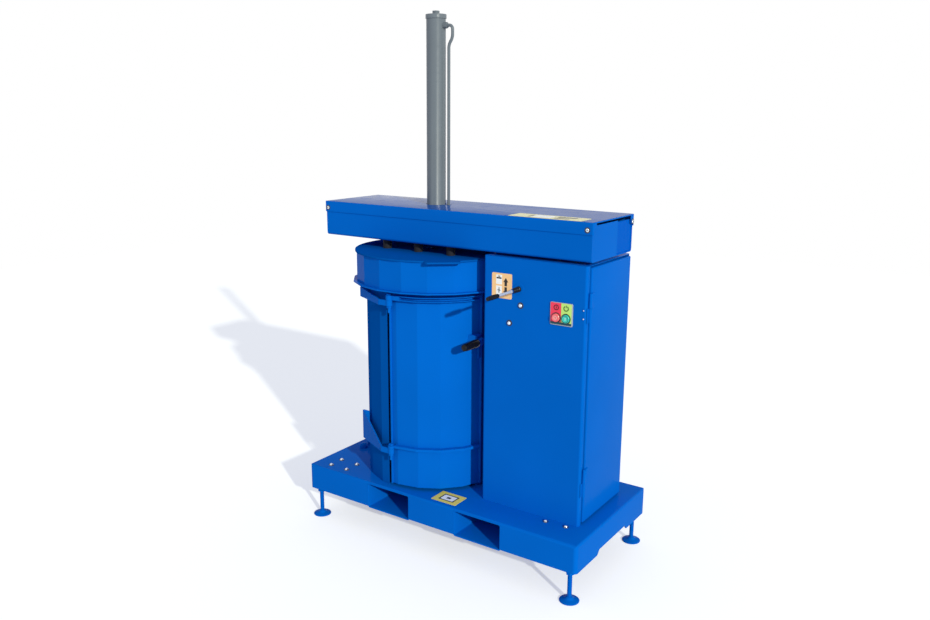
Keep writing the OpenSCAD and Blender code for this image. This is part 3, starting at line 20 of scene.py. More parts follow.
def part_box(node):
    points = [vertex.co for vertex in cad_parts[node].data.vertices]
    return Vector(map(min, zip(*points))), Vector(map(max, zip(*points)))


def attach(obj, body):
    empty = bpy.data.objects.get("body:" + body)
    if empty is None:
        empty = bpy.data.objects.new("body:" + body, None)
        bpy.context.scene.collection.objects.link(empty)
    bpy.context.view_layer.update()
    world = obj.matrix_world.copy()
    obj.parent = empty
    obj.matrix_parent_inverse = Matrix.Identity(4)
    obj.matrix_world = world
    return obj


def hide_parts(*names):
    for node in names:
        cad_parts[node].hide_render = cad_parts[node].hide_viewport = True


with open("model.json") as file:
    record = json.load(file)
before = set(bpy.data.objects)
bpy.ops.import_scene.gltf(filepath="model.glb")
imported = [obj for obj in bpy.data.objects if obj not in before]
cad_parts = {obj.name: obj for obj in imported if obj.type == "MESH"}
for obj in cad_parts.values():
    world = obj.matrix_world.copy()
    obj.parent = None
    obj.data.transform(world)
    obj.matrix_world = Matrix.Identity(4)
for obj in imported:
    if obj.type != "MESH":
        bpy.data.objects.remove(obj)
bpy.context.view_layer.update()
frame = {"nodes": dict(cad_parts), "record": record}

LOG = logging.getLogger("bag_compactor")

MM = 0.001
TOLERANCE = 1e-6
MERGE = 0.01 * MM

# Euler angles that turn +Z to the machine's front, which looks along -Y.
TO_FRONT = (math.radians(90), 0, 0)

# A face looks along an axis when its normal has more than this share of it.
FACING = 0.9

# Sides of turned pieces and rings, and the segments of a small bevel.
HEXAGON = 6
ROUND = 32
FINE_ROUND = 48
WIRE_SIDES = 8
RING_STEPS = 28
BEVEL_SEGMENTS = 2

# Angles in degrees: where balls and domes have their points, and below which edges are shaded smooth.
BALL_ANGLES = range(-80, 81, 16)
DOME_ANGLES = range(0, 81, 10)
TURNED_SMOOTHING = 35
PLATE_SMOOTHING = 30
RECESS_SMOOTHING = 40
RING_SMOOTHING = 50

# A noise pattern stays almost wholly between these two values.
PATTERN_RANGE = (0.3, 0.7)
CLOUD_DETAIL = 3.0
GLOSS_FINENESS = 9
LEAST_ROUGHNESS = 0.01

Point = Sequence[float]
Colour = tuple[float, float, float]
FaceTest = Callable[[bpy.types.MeshPolygon], bool]


class Coat(Enum):
    """Finishes of the machine, each named as the record names its slot."""

    BLUE_ENAMEL = "blue_paint"
    GREY_ENAMEL = "grey_paint"
    ZINC = "zinc_steel"
    ROD_CHROME = "rod_steel"
    BLACK_MOULDED = "black_plastic"
    GREY_MOULDED = "grey_plastic"
    BLACKED_STEEL = "lever_black"
    HOSE_RUBBER = "line_rubber"
    RED_MOULDED = "red_plastic"
    GREEN_MOULDED = "green_plastic"


class Extra(Enum):
    """Finishes of single pieces or faces that share a slot with another finish; the darker copies of the
    blue enamel and the near-black finish are painted shade.
    """

    SATIN_SHADED_BLUE = "satin_blue"
    PAINTED_SHADE_DARK = "dark_primer"
    BRIGHT_CAP = "bright_cap"
    FLAP_SHADED_BLUE = "flap_blue"
    PLATED_ROD = "plated_rod"
    TOP_SHADED_BLUE = "top_blue"


class Ink(Enum):
    """Printed colours of the signs."""

    ORANGE = "ink_orange"
    YELLOW = "ink_yellow"
    WHITE = "ink_white"
    DARK = "ink_dark"
    RED = "ink_red"
    LIME = "ink_lime"
    CRIMSON = "ink_crimson"
    LEAF = "ink_leaf"
    PINK = "ink_pink"
    MINT = "ink_mint"
    CREAM = "ink_cream"
    TEAL = "ink_teal"


class ShaderGraph:
    """The nodes of a material or a world, with short calls to add and join them."""

    def __init__(self, owner: bpy.types.Material | bpy.types.World,
                 output: str = "ShaderNodeOutputMaterial") -> None:
        """Empties the owner's node tree and adds its output.

        Args:
            owner: the material or world.
            output: Blender's name of its output node.
        """
        owner.use_nodes = True
        self.owner = owner
        self.tree = owner.node_tree
        self.tree.nodes.clear()
        self.output = self.add(output)

    def add(self, kind: str, inputs: dict[str, object] | None = None) -> bpy.types.Node:
        """Adds a node.

        Args:
            kind: Blender's name of the node.
            inputs: values of its sockets by name.

        Returns:
            The new node.
        """
        node = self.tree.nodes.new(kind)
        for name, value in (inputs or {}).items():
            node.inputs[name].default_value = value
        return node

    def join(self, source: bpy.types.NodeSocket, target: bpy.types.NodeSocket) -> None:
        """Links two sockets."""
        self.tree.links.new(source, target)

    def noise(self, scale: float, detail: float = 2.0, stretch: Point = (1, 1, 1)) -> bpy.types.NodeSocket:
        """Adds a noise pattern on Object coordinates.

        Args:
            scale: the pattern's scale, per metre.
            detail: how many octaves it has.
            stretch: factors along X, Y and Z.

        Returns:
            The socket with the pattern's value.
        """
        place = self.add("ShaderNodeTexCoord")
        turn = self.add("ShaderNodeMapping", {"Scale": stretch})
        pattern = self.add("ShaderNodeTexNoise", {"Scale": scale, "Detail": detail})
        self.join(place.outputs["Object"], turn.inputs["Vector"])
        self.join(turn.outputs["Vector"], pattern.inputs["Vector"])
        return pattern.outputs["Fac"]

    def between(self, value: bpy.types.NodeSocket, low: float, high: float) -> bpy.types.NodeSocket:
        """Spreads a pattern's middle range over two limits.

        Args:
            value: the pattern.
            low: the result where the pattern is low.
            high: the result where it is high.

        Returns:
            The socket with the spread value.
        """
        spread = self.add("ShaderNodeMapRange", {
            "From Min": PATTERN_RANGE[0], "From Max": PATTERN_RANGE[1], "To Min": low, "To Max": high})
        self.join(value, spread.inputs["Value"])
        return spread.outputs["Result"]

    def tint(self, value: bpy.types.NodeSocket, dark: Colour, light: Colour) -> bpy.types.NodeSocket:
        """Mixes two colours by a pattern.

        Args:
            value: the pattern.
            dark: the colour where the pattern is low.
            light: the colour where it is high.

        Returns:
            The socket with the mixed colour.
        """
        ramp = self.add("ShaderNodeValToRGB")
        for element, position, colour in zip(ramp.color_ramp.elements, PATTERN_RANGE, (dark, light)):
            element.position = position
            element.color = (*colour, 1)
        self.join(value, ramp.inputs["Fac"])
        return ramp.outputs["Color"]

    def bump(self, height: bpy.types.NodeSocket, depth: float, strength: float) -> bpy.types.NodeSocket:
        """Turns a pattern into relief.

        Args:
            height: the pattern.
            depth: the relief's depth.
            strength: how much of it shows.

        Returns:
            The socket with the bent normal.
        """
        relief = self.add("ShaderNodeBump", {"Distance": depth, "Strength": strength})
        self.join(height, relief.inputs["Height"])
        return relief.outputs["Normal"]

    def shown_rays(self) -> bpy.types.NodeSocket:
        """Adds up camera, glossy and transmission rays.

        Returns:
            The socket that is 1 for such a ray.
        """
        path = self.add("ShaderNodeLightPath")
        shown = path.outputs["Is Camera Ray"]
        for name in ("Is Glossy Ray", "Is Transmission Ray"):
            larger = self.add("ShaderNodeMath")
            larger.operation = "MAXIMUM"
            self.join(shown, larger.inputs[0])
            self.join(path.outputs[name], larger.inputs[1])
            shown = larger.outputs["Value"]
        return shown


def shade(colour: Colour, factor: float) -> Colour:
    """Returns the colour made lighter or darker by a factor."""
    return tuple(min(1.0, c * factor) for c in colour)


@dataclass(frozen=True)
class Finish:
    """A surface with a slightly uneven colour and gloss and a fine relief."""

    name: str
    colour: Colour
    roughness: float = 0.4
    gloss_spread: float = 0.05
    metallic: float = 0.0
    specular: float = 0.5
    coat: float = 0.0
    coat_roughness: float = 0.05
    variation: float = 0.04
    variation_scale: float = 6.0
    grain_scale: float = 900.0
    grain_depth: float = 0.00002
    grain_strength: float = 0.3
    grain_stretch: tuple[float, float, float] = (1.0, 1.0, 1.0)

    def build(self) -> bpy.types.Material:
        """Makes the material.

        Returns:
            The finished material.
        """
        graph = ShaderGraph(bpy.data.materials.new(self.name))
        shader = graph.add("ShaderNodeBsdfPrincipled", {
            "Metallic": self.metallic, "Specular IOR Level": self.specular,
            "Coat Weight": self.coat, "Coat Roughness": self.coat_roughness})
        clouds = graph.noise(self.variation_scale, CLOUD_DETAIL)
        dark = shade(self.colour, 1 - self.variation)
        light = shade(self.colour, 1 + self.variation)
        graph.join(graph.tint(clouds, dark, light), shader.inputs["Base Color"])
        gloss = graph.noise(self.variation_scale * GLOSS_FINENESS)
        low, high = self.roughness - self.gloss_spread, self.roughness + self.gloss_spread
        graph.join(graph.between(gloss, max(low, LEAST_ROUGHNESS), high), shader.inputs["Roughness"])
        grain = graph.noise(self.grain_scale, stretch=self.grain_stretch)
        graph.join(graph.bump(grain, self.grain_depth, self.grain_strength), shader.inputs["Normal"])
        graph.join(shader.outputs["BSDF"], graph.output.inputs["Surface"])
        return graph.owner


SHEET_ENAMEL: dict[str, float] = {
    "variation": 0.05, "variation_scale": 2.5, "grain_scale": 420, "grain_depth": 0.00006}

FINISHES: dict[Enum, Finish] = {
    Coat.BLUE_ENAMEL: Finish("blue_enamel", (0.0006, 0.125, 0.56), roughness=0.17, specular=0.006,
                             grain_strength=0.22, **SHEET_ENAMEL),
    Coat.GREY_ENAMEL: Finish("grey_enamel", (0.15, 0.175, 0.2), roughness=0.3, specular=0.25,
                             grain_scale=500, grain_depth=0.00005, grain_strength=0.25),
    Coat.ZINC: Finish("bright_zinc", (0.5, 0.54, 0.6), roughness=0.2, metallic=1.0,
                      variation=0.06, variation_scale=60, grain_scale=1500),
    Coat.ROD_CHROME: Finish("ground_chrome", (0.78, 0.79, 0.8), roughness=0.1, gloss_spread=0.03,
                            metallic=1.0, grain_scale=300, grain_stretch=(0.2, 0.2, 12.0)),
    Coat.BLACK_MOULDED: Finish("black_moulding", (0.006, 0.006, 0.008), roughness=0.25, specular=0.18,
                               variation=0.15, grain_scale=1800, grain_depth=0.00004, grain_strength=0.4),
    Coat.GREY_MOULDED: Finish("grey_moulding", (0.42, 0.45, 0.48), roughness=0.45, variation=0.05,
                              grain_scale=1800, grain_depth=0.00003),
    Coat.BLACKED_STEEL: Finish("blacked_steel", (0.05, 0.05, 0.055), roughness=0.3, metallic=0.6,
                               variation=0.2, variation_scale=40),
    Coat.HOSE_RUBBER: Finish("hose_rubber", (0.018, 0.018, 0.02), roughness=0.6, variation=0.15,
                             variation_scale=25, grain_scale=700, grain_depth=0.0001, grain_strength=0.5),
    Coat.RED_MOULDED: Finish("red_moulding", (0.9, 0.2, 0.19), roughness=0.25, coat=0.3, variation=0.05,
                             variation_scale=80),
    Coat.GREEN_MOULDED: Finish("green_moulding", (0.02, 0.6, 0.48), roughness=0.25, coat=0.3,
                               variation=0.05, variation_scale=80),
    # Painted shade: a darker, satin copy of the blue enamel for collar_top under the beam and for
    # rear_shell, which lie in shade.
    Extra.SATIN_SHADED_BLUE: Finish("satin_blue_enamel", (0.0006, 0.09, 0.4), roughness=0.6, specular=0.0,
                             **SHEET_ENAMEL),
    # Painted shade: a near-black finish for the spacers, which lie in shade under the beam.
    Extra.PAINTED_SHADE_DARK: Finish("dark_primer", (0.022, 0.022, 0.028), roughness=0.55, specular=0.1,
                              variation=0.12, variation_scale=30, grain_depth=0.00005),
    Extra.BRIGHT_CAP: Finish("bright_cap", (0.72, 0.75, 0.8), roughness=0.16, metallic=1.0,
                             variation=0.05, variation_scale=80, grain_scale=1500),
    # Painted shade: a darker, rougher copy of the blue enamel for the rear flaps at the tray's ends, darker
    # than the front flaps.
    Extra.FLAP_SHADED_BLUE: Finish("flap_blue_enamel", (0.0006, 0.102, 0.53), roughness=0.3, specular=0.004,
                            **SHEET_ENAMEL),
    Extra.PLATED_ROD: Finish("plated_rod", (0.62, 0.65, 0.7), roughness=0.22, metallic=0.3,
                             grain_scale=300, grain_stretch=(12.0, 0.2, 12.0)),
    # Painted shade: a darker copy of the blue enamel for the cover's upward faces, so that their sheen
    # reads grey.
    Extra.TOP_SHADED_BLUE: Finish("top_blue_enamel", (0.001, 0.085, 0.38), roughness=0.14, specular=0.011,
                           grain_strength=0.22, **SHEET_ENAMEL),
}

INK_COLOURS: dict[Ink, Colour] = {
    Ink.ORANGE: (1.0, 0.6, 0.28),
    Ink.YELLOW: (0.86, 0.7, 0.12),
    Ink.WHITE: (0.96, 0.96, 0.95),
    Ink.DARK: (0.02, 0.018, 0.018),
    Ink.RED: (0.93, 0.05, 0.11),
    Ink.LIME: (0.56, 0.84, 0.2),
    Ink.CRIMSON: (0.12, 0.006, 0.012),
    Ink.LEAF: (0.035, 0.13, 0.015),
    Ink.PINK: (0.92, 0.5, 0.46),
    Ink.MINT: (0.5, 0.9, 0.82),
    Ink.CREAM: (0.86, 0.8, 0.42),
    Ink.TEAL: (0.004, 0.06, 0.085),
}


def printed(ink: Ink) -> Finish:
    """Returns the satin finish of a sign's printed colour."""
    return Finish(ink.value, INK_COLOURS[ink], roughness=0.38, specular=0.35, variation=0.03,
                  variation_scale=90, grain_scale=2500, grain_depth=0.00001)


class Palette:
    """All materials, each made when it is first used."""

    def __init__(self) -> None:
        """Starts with no material made."""
        self._made: dict[Enum, bpy.types.Material] = {}

    def of(self, choice: Enum) -> bpy.types.Material:
        """Finds or makes the material of a coat, an extra finish or an ink.

        Args:
            choice: the coat, extra finish or ink.

        Returns:
            Its material.
        """
        if choice not in self._made:
            finish = FINISHES[choice] if choice in FINISHES else printed(choice)
            self._made[choice] = finish.build()
        return self._made[choice]


PALETTE = Palette()


def deselect_all() -> None:
    """Leaves object mode active with nothing selected."""
    if bpy.context.object and bpy.context.object.mode != "OBJECT":
        bpy.ops.object.mode_set(mode="OBJECT")
    bpy.ops.object.select_all(action="DESELECT")


def make_active(obj: bpy.types.Object) -> None:
    """Selects one object alone and makes it the active one."""
    deselect_all()
    obj.select_set(True)
    bpy.context.view_layer.objects.active = obj


def copied(obj: bpy.types.Object) -> bpy.types.Object:
    """Copies an object and makes the copy the active one."""
    make_active(obj)
    bpy.ops.object.duplicate()
    return bpy.context.object


def edit_all(obj: bpy.types.Object) -> None:
    """Enters edit mode with an object's whole mesh selected."""
    make_active(obj)
    bpy.ops.object.mode_set(mode="EDIT")
    bpy.ops.mesh.select_all(action="SELECT")


def close_mesh() -> None:
    """Merges the edited mesh's doubled points, fills its holes, turns its faces out and ends editing."""
    bpy.ops.mesh.select_all(action="SELECT")
    bpy.ops.mesh.remove_doubles(threshold=TOLERANCE)
    bpy.ops.mesh.fill_holes(sides=0)
    bpy.ops.mesh.select_all(action="SELECT")
    bpy.ops.mesh.normals_make_consistent(inside=False)
    bpy.ops.object.mode_set(mode="OBJECT")


def middle_of(node: str) -> tuple[float, ...]:
    """Returns the middle of a node's box."""
    return tuple((a + b) / 2 for a, b in zip(*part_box(node)))


def radius_of(node: str) -> float:
    """Returns half the width of a round node's box."""
    low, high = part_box(node)
    return (high[0] - low[0]) / 2


def apply_place(obj: bpy.types.Object) -> None:
    """Moves an object's place, turn and scale into its mesh."""
    make_active(obj)
    bpy.ops.object.transform_apply(location=True, rotation=True, scale=True)


def settle(obj: bpy.types.Object, name: str, turn: Point = (0, 0, 0),
           place: Point = (0, 0, 0)) -> bpy.types.Object:
    """Names an object, turns it, moves it and puts all of that into its mesh.

    Args:
        obj: the object, modelled about the origin.
        name: its name.
        turn: Euler angles in radians.
        place: where its origin goes.

    Returns:
        The same object.
    """
    obj.name = name
    obj.data.name = name
    obj.rotation_euler = turn
    obj.location = place
    apply_place(obj)
    return obj


def block(name: str, low: Point, high: Point) -> bpy.types.Object:
    """Adds a box between two corners.

    Args:
        name: the object's name.
        low: the lowest corner.
        high: the highest corner.

    Returns:
        The new object.
    """
    deselect_all()
    bpy.ops.mesh.primitive_cube_add(size=1.0, location=[(a + b) / 2 for a, b in zip(low, high)])
    obj = bpy.context.object
    obj.scale = [b - a for a, b in zip(low, high)]
    obj.name = name
    apply_place(obj)
    return obj


def pick_edges(obj: bpy.types.Object, wanted: Callable[[Vector, Vector], bool]) -> None:
    """Enters edit mode with the wanted edges selected.

    Args:
        obj: the object.
        wanted: says of an edge's two ends whether the edge is wanted.
    """
    make_active(obj)
    bpy.ops.object.mode_set(mode="EDIT")
    bpy.ops.mesh.select_mode(type="EDGE")
    bpy.ops.mesh.select_all(action="DESELECT")
    edit = bmesh.from_edit_mesh(obj.data)
    for edge in edit.edges:
        edge.select_set(wanted(edge.verts[0].co, edge.verts[1].co))
    bmesh.update_edit_mesh(obj.data)


def smooth(obj: bpy.types.Object, angle: float = TURNED_SMOOTHING) -> None:
    """Shades an object smooth except across edges sharper than an angle in degrees."""
    make_active(obj)
    bpy.ops.object.shade_smooth_by_angle(angle=math.radians(angle))


def turned(name: str, rings: Sequence[tuple[float, float]], sides: int) -> bpy.types.Object:
    """Makes a turned piece about +Z by extruding and resizing a circle.

    Args:
        name: the object's name.
        rings: radius and height of each ring in order; the last may repeat the first.
        sides: how many sides the circle has.

    Returns:
        The new closed object.
    """
    deselect_all()
    first_r, first_z = rings[0]
    bpy.ops.mesh.primitive_circle_add(vertices=sides, radius=first_r, location=(0, 0, first_z))
    obj = bpy.context.object
    apply_place(obj)
    edit_all(obj)
    for (r_from, z_from), (r_to, z_to) in zip(rings, rings[1:]):
        bpy.ops.mesh.extrude_region_move(TRANSFORM_OT_translate={"value": (0, 0, z_to - z_from)})
        factor = r_to / r_from
        bpy.ops.transform.resize(value=(factor, factor, 1), center_override=(0, 0, z_to))
    close_mesh()
    obj.name = name
    smooth(obj)
    return obj


def arc(radius: float, height: float, angles: Sequence[int]) -> list[tuple[float, float]]:
    """Returns radius and height of an elliptical arc's points at angles in degrees."""
    steps = [math.radians(angle) for angle in angles]
    return [(radius * math.cos(a), height * math.sin(a)) for a in steps]


def in_mm(name: str, profile: Sequence[Point], sides: int, past: float = 0.0) -> bpy.types.Object:
    """Makes a turned piece from pairs of radius and height in millimetres.

    Args:
        name: the object's name.
        profile: the pairs.
        sides: how many sides the circle has.
        past: a length that is added to every radius.

    Returns:
        The new closed object.
    """
    return turned(name, [(past + radius * MM, z * MM) for radius, z in profile], sides)


def joined(name: str, parts: Sequence[bpy.types.Object]) -> bpy.types.Object:
    """Joins several objects into one.

    Args:
        name: the joined object's name.
        parts: the objects.

    Returns:
        The joined object.
    """
    make_active(parts[0])
    for part in parts:
        part.select_set(True)
    bpy.ops.object.join()
    obj = bpy.context.object
    obj.name = name
    obj.data.name = name
    return obj


def finish_with(obj: bpy.types.Object, kind: str, **settings: object) -> None:
    """Adds a modifier and applies it.

    Args:
        obj: the object.
        kind: Blender's name of the modifier.
        **settings: attributes to set on it.
    """
    make_active(obj)
    modifier = obj.modifiers.new(kind.lower(), kind)
    for key, value in settings.items():
        setattr(modifier, key, value)
    bpy.ops.object.modifier_apply(modifier=modifier.name)


def cut_out(obj: bpy.types.Object, cutter: bpy.types.Object) -> None:
    """Cuts one object's form out of another and removes the cutter."""
    finish_with(obj, "BOOLEAN", operation="DIFFERENCE", solver="EXACT", object=cutter)
    bpy.data.objects.remove(cutter, do_unlink=True)


def hand_over(obj: bpy.types.Object, body: str, choice: Enum) -> bpy.types.Object:
    """Gives a finished piece its material and body and reports it.

    Args:
        obj: the piece.
        body: the CAD body that it rides on.
        choice: its coat, extra finish or ink.

    Returns:
        The same piece.
    """
    obj.data.materials.clear()
    obj.data.materials.append(PALETTE.of(choice))
    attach(obj, body)
    LOG.info("%s: %d faces, rides on %s", obj.name, len(obj.data.polygons), body)
    return obj


@dataclass
class DressedFrame:
    """The CAD nodes with their finishes, and copies with softened edges where edges show."""

    edge: float = 0.7 * MM
    fine_edge: float = 0.3 * MM
    smooth_angle: float = 30.0
    facet_angle: float = 9.0
    bevel_angle: float = math.radians(38)
    flat_angle: float = math.radians(0.4)
    edge_screw_room: float = 40 * MM
    front_flap: float = 188 * MM
    flap_room: float = 8 * MM
    sheet_nodes: tuple[str, ...] = (
        "base_tray", "fork_pocket_left", "fork_pocket_right", "foot_plates", "cabinet_shell",
        "cabinet_top", "cabinet_door", "column", "beam_tray", "beam_cover", "collar_top",
        "collar_skirt", "collar_flange", "rear_shell", "drum_door", "hoop_upper", "hoop_lower",
        "hinge_arm_upper", "hinge_arm_lower", "latch_bracket", "latch_lever", "latch_keeper",
        "press_plate", "cylinder_seat", "cylinder_tube", "cylinder_cap", "oil_tank", "tank_lid",
        "control_valve", "switch_housing", "hinge_leaves", "hinge_pins")
    faceted_nodes: tuple[str, ...] = (
        "collar_skirt", "collar_flange", "rear_shell", "drum_door", "hoop_upper", "hoop_lower")
    # Painted shade: pieces that lie in shade take a darker finish in place of their slot's.
    painted_shade_finish: dict[str, Extra] = field(default_factory=lambda: {
        "collar_top": Extra.SATIN_SHADED_BLUE, "rear_shell": Extra.SATIN_SHADED_BLUE,
        # Painted shade: near-black spacers in the shade under the beam.
        "collar_spacers": Extra.PAINTED_SHADE_DARK})
    small_nodes: tuple[str, ...] = (
        "foot_nuts", "base_bolts", "panel_screws", "frame_bolts", "collar_spacers",
        "collar_bolts", "cylinder_bolts", "riser_pipe", "pipe_fitting", "hinge_bolts", "latch_grip",
        "stop_button", "start_button", "spring_anchor", "cable_gland")

    def slot_of(self) -> dict[str, str]:
        """Returns each node's material slot, from the record."""
        return {part["node"]: part["material_slot"] for part in frame["record"]["subparts"]}

    def body_of(self) -> dict[str, str]:
        """Returns each node's body, from the record."""
        bodies = frame["record"]["behaviour"]["bodies"]
        return {node: body for body, nodes in bodies.items() for node in nodes}

    def paint(self) -> None:
        """Gives every CAD node the finish of its slot."""
        for node, slot in self.slot_of().items():
            obj = frame["nodes"][node]
            obj.data.materials.clear()
            obj.data.materials.append(PALETTE.of(Coat(slot)))
            LOG.info("%s: painted %s", node, slot)

    def dress(self, node: str, body: str, coat: Coat, width: float) -> None:
        """Puts a copy with softened edges in a node's place.

        Args:
            node: the node's name.
            body: the body that it rides on.
            coat: its finish.
            width: how far the edges are softened.
        """
        obj = copied(frame["nodes"][node])
        for key in [key for key in obj.keys() if key.startswith("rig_")]:
            del obj[key]
        obj.parent = None
        obj.name = obj.data.name = f"{node}_dressed"
        edit_all(obj)
        bpy.ops.mesh.remove_doubles(threshold=MERGE)
        bpy.ops.mesh.dissolve_limited(angle_limit=self.flat_angle)
        bpy.ops.object.mode_set(mode="OBJECT")
        smooth(obj, self.facet_angle if node in self.faceted_nodes else self.smooth_angle)
        finish_with(obj, "BEVEL", width=width, segments=BEVEL_SEGMENTS, limit_method="ANGLE",
                    angle_limit=self.bevel_angle, harden_normals=True)
        hand_over(obj, body, self.painted_shade_finish.get(node, coat))
        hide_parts(node)
        choice, wanted = self.second_finishes().get(node, (None, None))
        if choice:
            self.repaint(obj, choice, wanted)

    def repaint(self, obj: bpy.types.Object, choice: Enum, wanted: FaceTest) -> None:
        """Gives some faces of a dressed piece a second finish.

        Args:
            obj: the dressed piece.
            choice: the second finish.
            wanted: says of a face whether it gets that finish.
        """
        obj.data.materials.append(PALETTE.of(choice))
        for polygon in obj.data.polygons:
            if wanted(polygon):
                polygon.material_index = 1

    def second_finishes(self) -> dict[str, tuple[Enum, FaceTest]]:
        """Finds the second finishes of the cover, the tray and the cabinet's screws.

        Returns:
            By node, the finish and the test of its faces: the cover's top in a darker glossy copy of the
            enamel, which is painted shade, the tray's rear end flaps in a darker and rougher copy, which is
            painted shade, and the enamelled screws at the cabinet's hinged edge.
        """
        low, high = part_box("beam_tray")
        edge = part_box("cabinet_shell")[1][0] - self.edge_screw_room
        return {
            # Painted shade on the cover's upward faces.
            "beam_cover": (Extra.TOP_SHADED_BLUE, lambda face: face.normal.z > FACING),
            # Painted shade on the rear flaps at the tray's ends.
            "beam_tray": (Extra.FLAP_SHADED_BLUE, lambda face: (
                min(face.center.x - low[0], high[0] - face.center.x) < self.flap_room
                and abs(face.normal.x) > FACING and face.center.y > low[1] + self.front_flap)),
            "panel_screws": (Coat.BLUE_ENAMEL, lambda face: face.center.x > edge)}

    def build(self) -> None:
        """Paints all nodes and dresses those whose edges show."""
        self.paint()
        slots, bodies = self.slot_of(), self.body_of()
        for nodes, width in ((self.sheet_nodes, self.edge), (self.small_nodes, self.fine_edge)):
            for node in nodes:
                self.dress(node, bodies[node], Coat(slots[node]), width)


class Shape(Enum):
    """Outlines of a sign's printed fields."""

    PANEL = "panel"
    ARROW_UP = "arrow_up"
    ARROW_DOWN = "arrow_down"


@dataclass(frozen=True)
class Field:
    """One printed field, whose left, lower, right and upper edges are shares of its sign."""

    label: str
    ink: Ink
    share: tuple[float, float, float, float]
    shape: Shape = Shape.PANEL


@dataclass
class Sign:
    """A sign plate with printed fields, on a face that looks along -Y or +Z."""

    name: str
    low: Point
    high: Point
    ink: Ink
    fields: tuple[Field, ...]
    corner: float = 5 * MM
    corner_segments: int = 6
    thickness: float = 0.8 * MM
    film: float = 0.12 * MM
    layer_step: float = 0.02 * MM
    field_corner: float = 1.2 * MM
    tip_share: float = 0.08
    faces_up: bool = False

    def corners(self, share: Sequence[float], level: float,
                depth: float) -> tuple[list[float], list[float]]:
        """Finds the corners of a field.

        Args:
            share: left, lower, right and upper edge as shares of the plate.
            level: the field's inner side above the plate's seat.
            depth: the field's thickness.

        Returns:
            Its lowest and highest corner.
        """
        x0, x1 = self.low[0], self.high[0]
        across = 1 if self.faces_up else 2
        a0, a1 = self.low[across], self.high[across]
        low = [x0 + share[0] * (x1 - x0), 0.0, 0.0]
        high = [x0 + share[2] * (x1 - x0), 0.0, 0.0]
        low[across], high[across] = a0 + share[1] * (a1 - a0), a0 + share[3] * (a1 - a0)
        if self.faces_up:
            low[2], high[2] = self.low[2] + level, self.low[2] + level + depth
        else:
            low[1], high[1] = self.low[1] - level - depth, self.low[1] - level
        return low, high

    def sheet(self, name: str, share: Sequence[float], level: float, depth: float,
              corner: float) -> bpy.types.Object:
        """Makes a thin sheet with rounded corners.

        Args:
            name: the sheet's name.
            share: its edges as shares of the plate.
            level: its inner side above the plate's seat.
            depth: its thickness.
            corner: its corners' radius.

        Returns:
            The sheet.
        """
        low, high = self.corners(share, level, depth)
        obj = block(name, low, high)
        normal = 2 if self.faces_up else 1
        pick_edges(obj, lambda a, b: abs(a[normal] - b[normal]) > depth / 2)
        bpy.ops.mesh.bevel(offset=corner, segments=self.corner_segments, affect="EDGES")
        smooth(obj, PLATE_SMOOTHING)
        return obj

    def arrow(self, name: str, share: Sequence[float], up: bool, level: float) -> bpy.types.Object:
        """Makes a printed arrow along the plate's height.

        Args:
            name: the arrow's name.
            share: its edges as shares of the plate.
            up: whether it points up.
            level: its inner side above the plate's seat.

        Returns:
            The arrow.
        """
        low, high = self.corners(share, level, self.film)
        across = 1 if self.faces_up else 2
        middle, quarter = (low[0] + high[0]) / 2, (high[0] - low[0]) / 4
        neck, tip = (low[across] + high[across]) / 2, high[across] if up else low[across]
        head_low, head_high, stem_low, stem_high = list(low), list(high), list(low), list(high)
        (head_low if up else head_high)[across] = neck
        (stem_high if up else stem_low)[across] = neck
        stem_low[0], stem_high[0] = middle - quarter, middle + quarter
        head = block(name, head_low, head_high)
        pick_edges(head, lambda a, b: max(abs(a[across] - tip), abs(b[across] - tip)) < TOLERANCE)
        bpy.ops.transform.resize(value=(self.tip_share, 1, 1), center_override=(middle, 0, 0))
        return joined(name, [head, block(f"{name}_stem", stem_low, stem_high)])

    def build(self) -> None:
        """Models the plate and its fields."""
        plate = self.sheet(self.name, (0, 0, 1, 1), 0, self.thickness, self.corner)
        hand_over(plate, "frame", self.ink)
        level = self.thickness
        for item in self.fields:
            name = f"{self.name}_{item.label}"
            if item.shape is Shape.PANEL:
                piece = self.sheet(name, item.share, level, self.film, self.field_corner)
            else:
                piece = self.arrow(name, item.share, item.shape is Shape.ARROW_UP, level)
            level += self.layer_step
            hand_over(piece, "frame", item.ink)


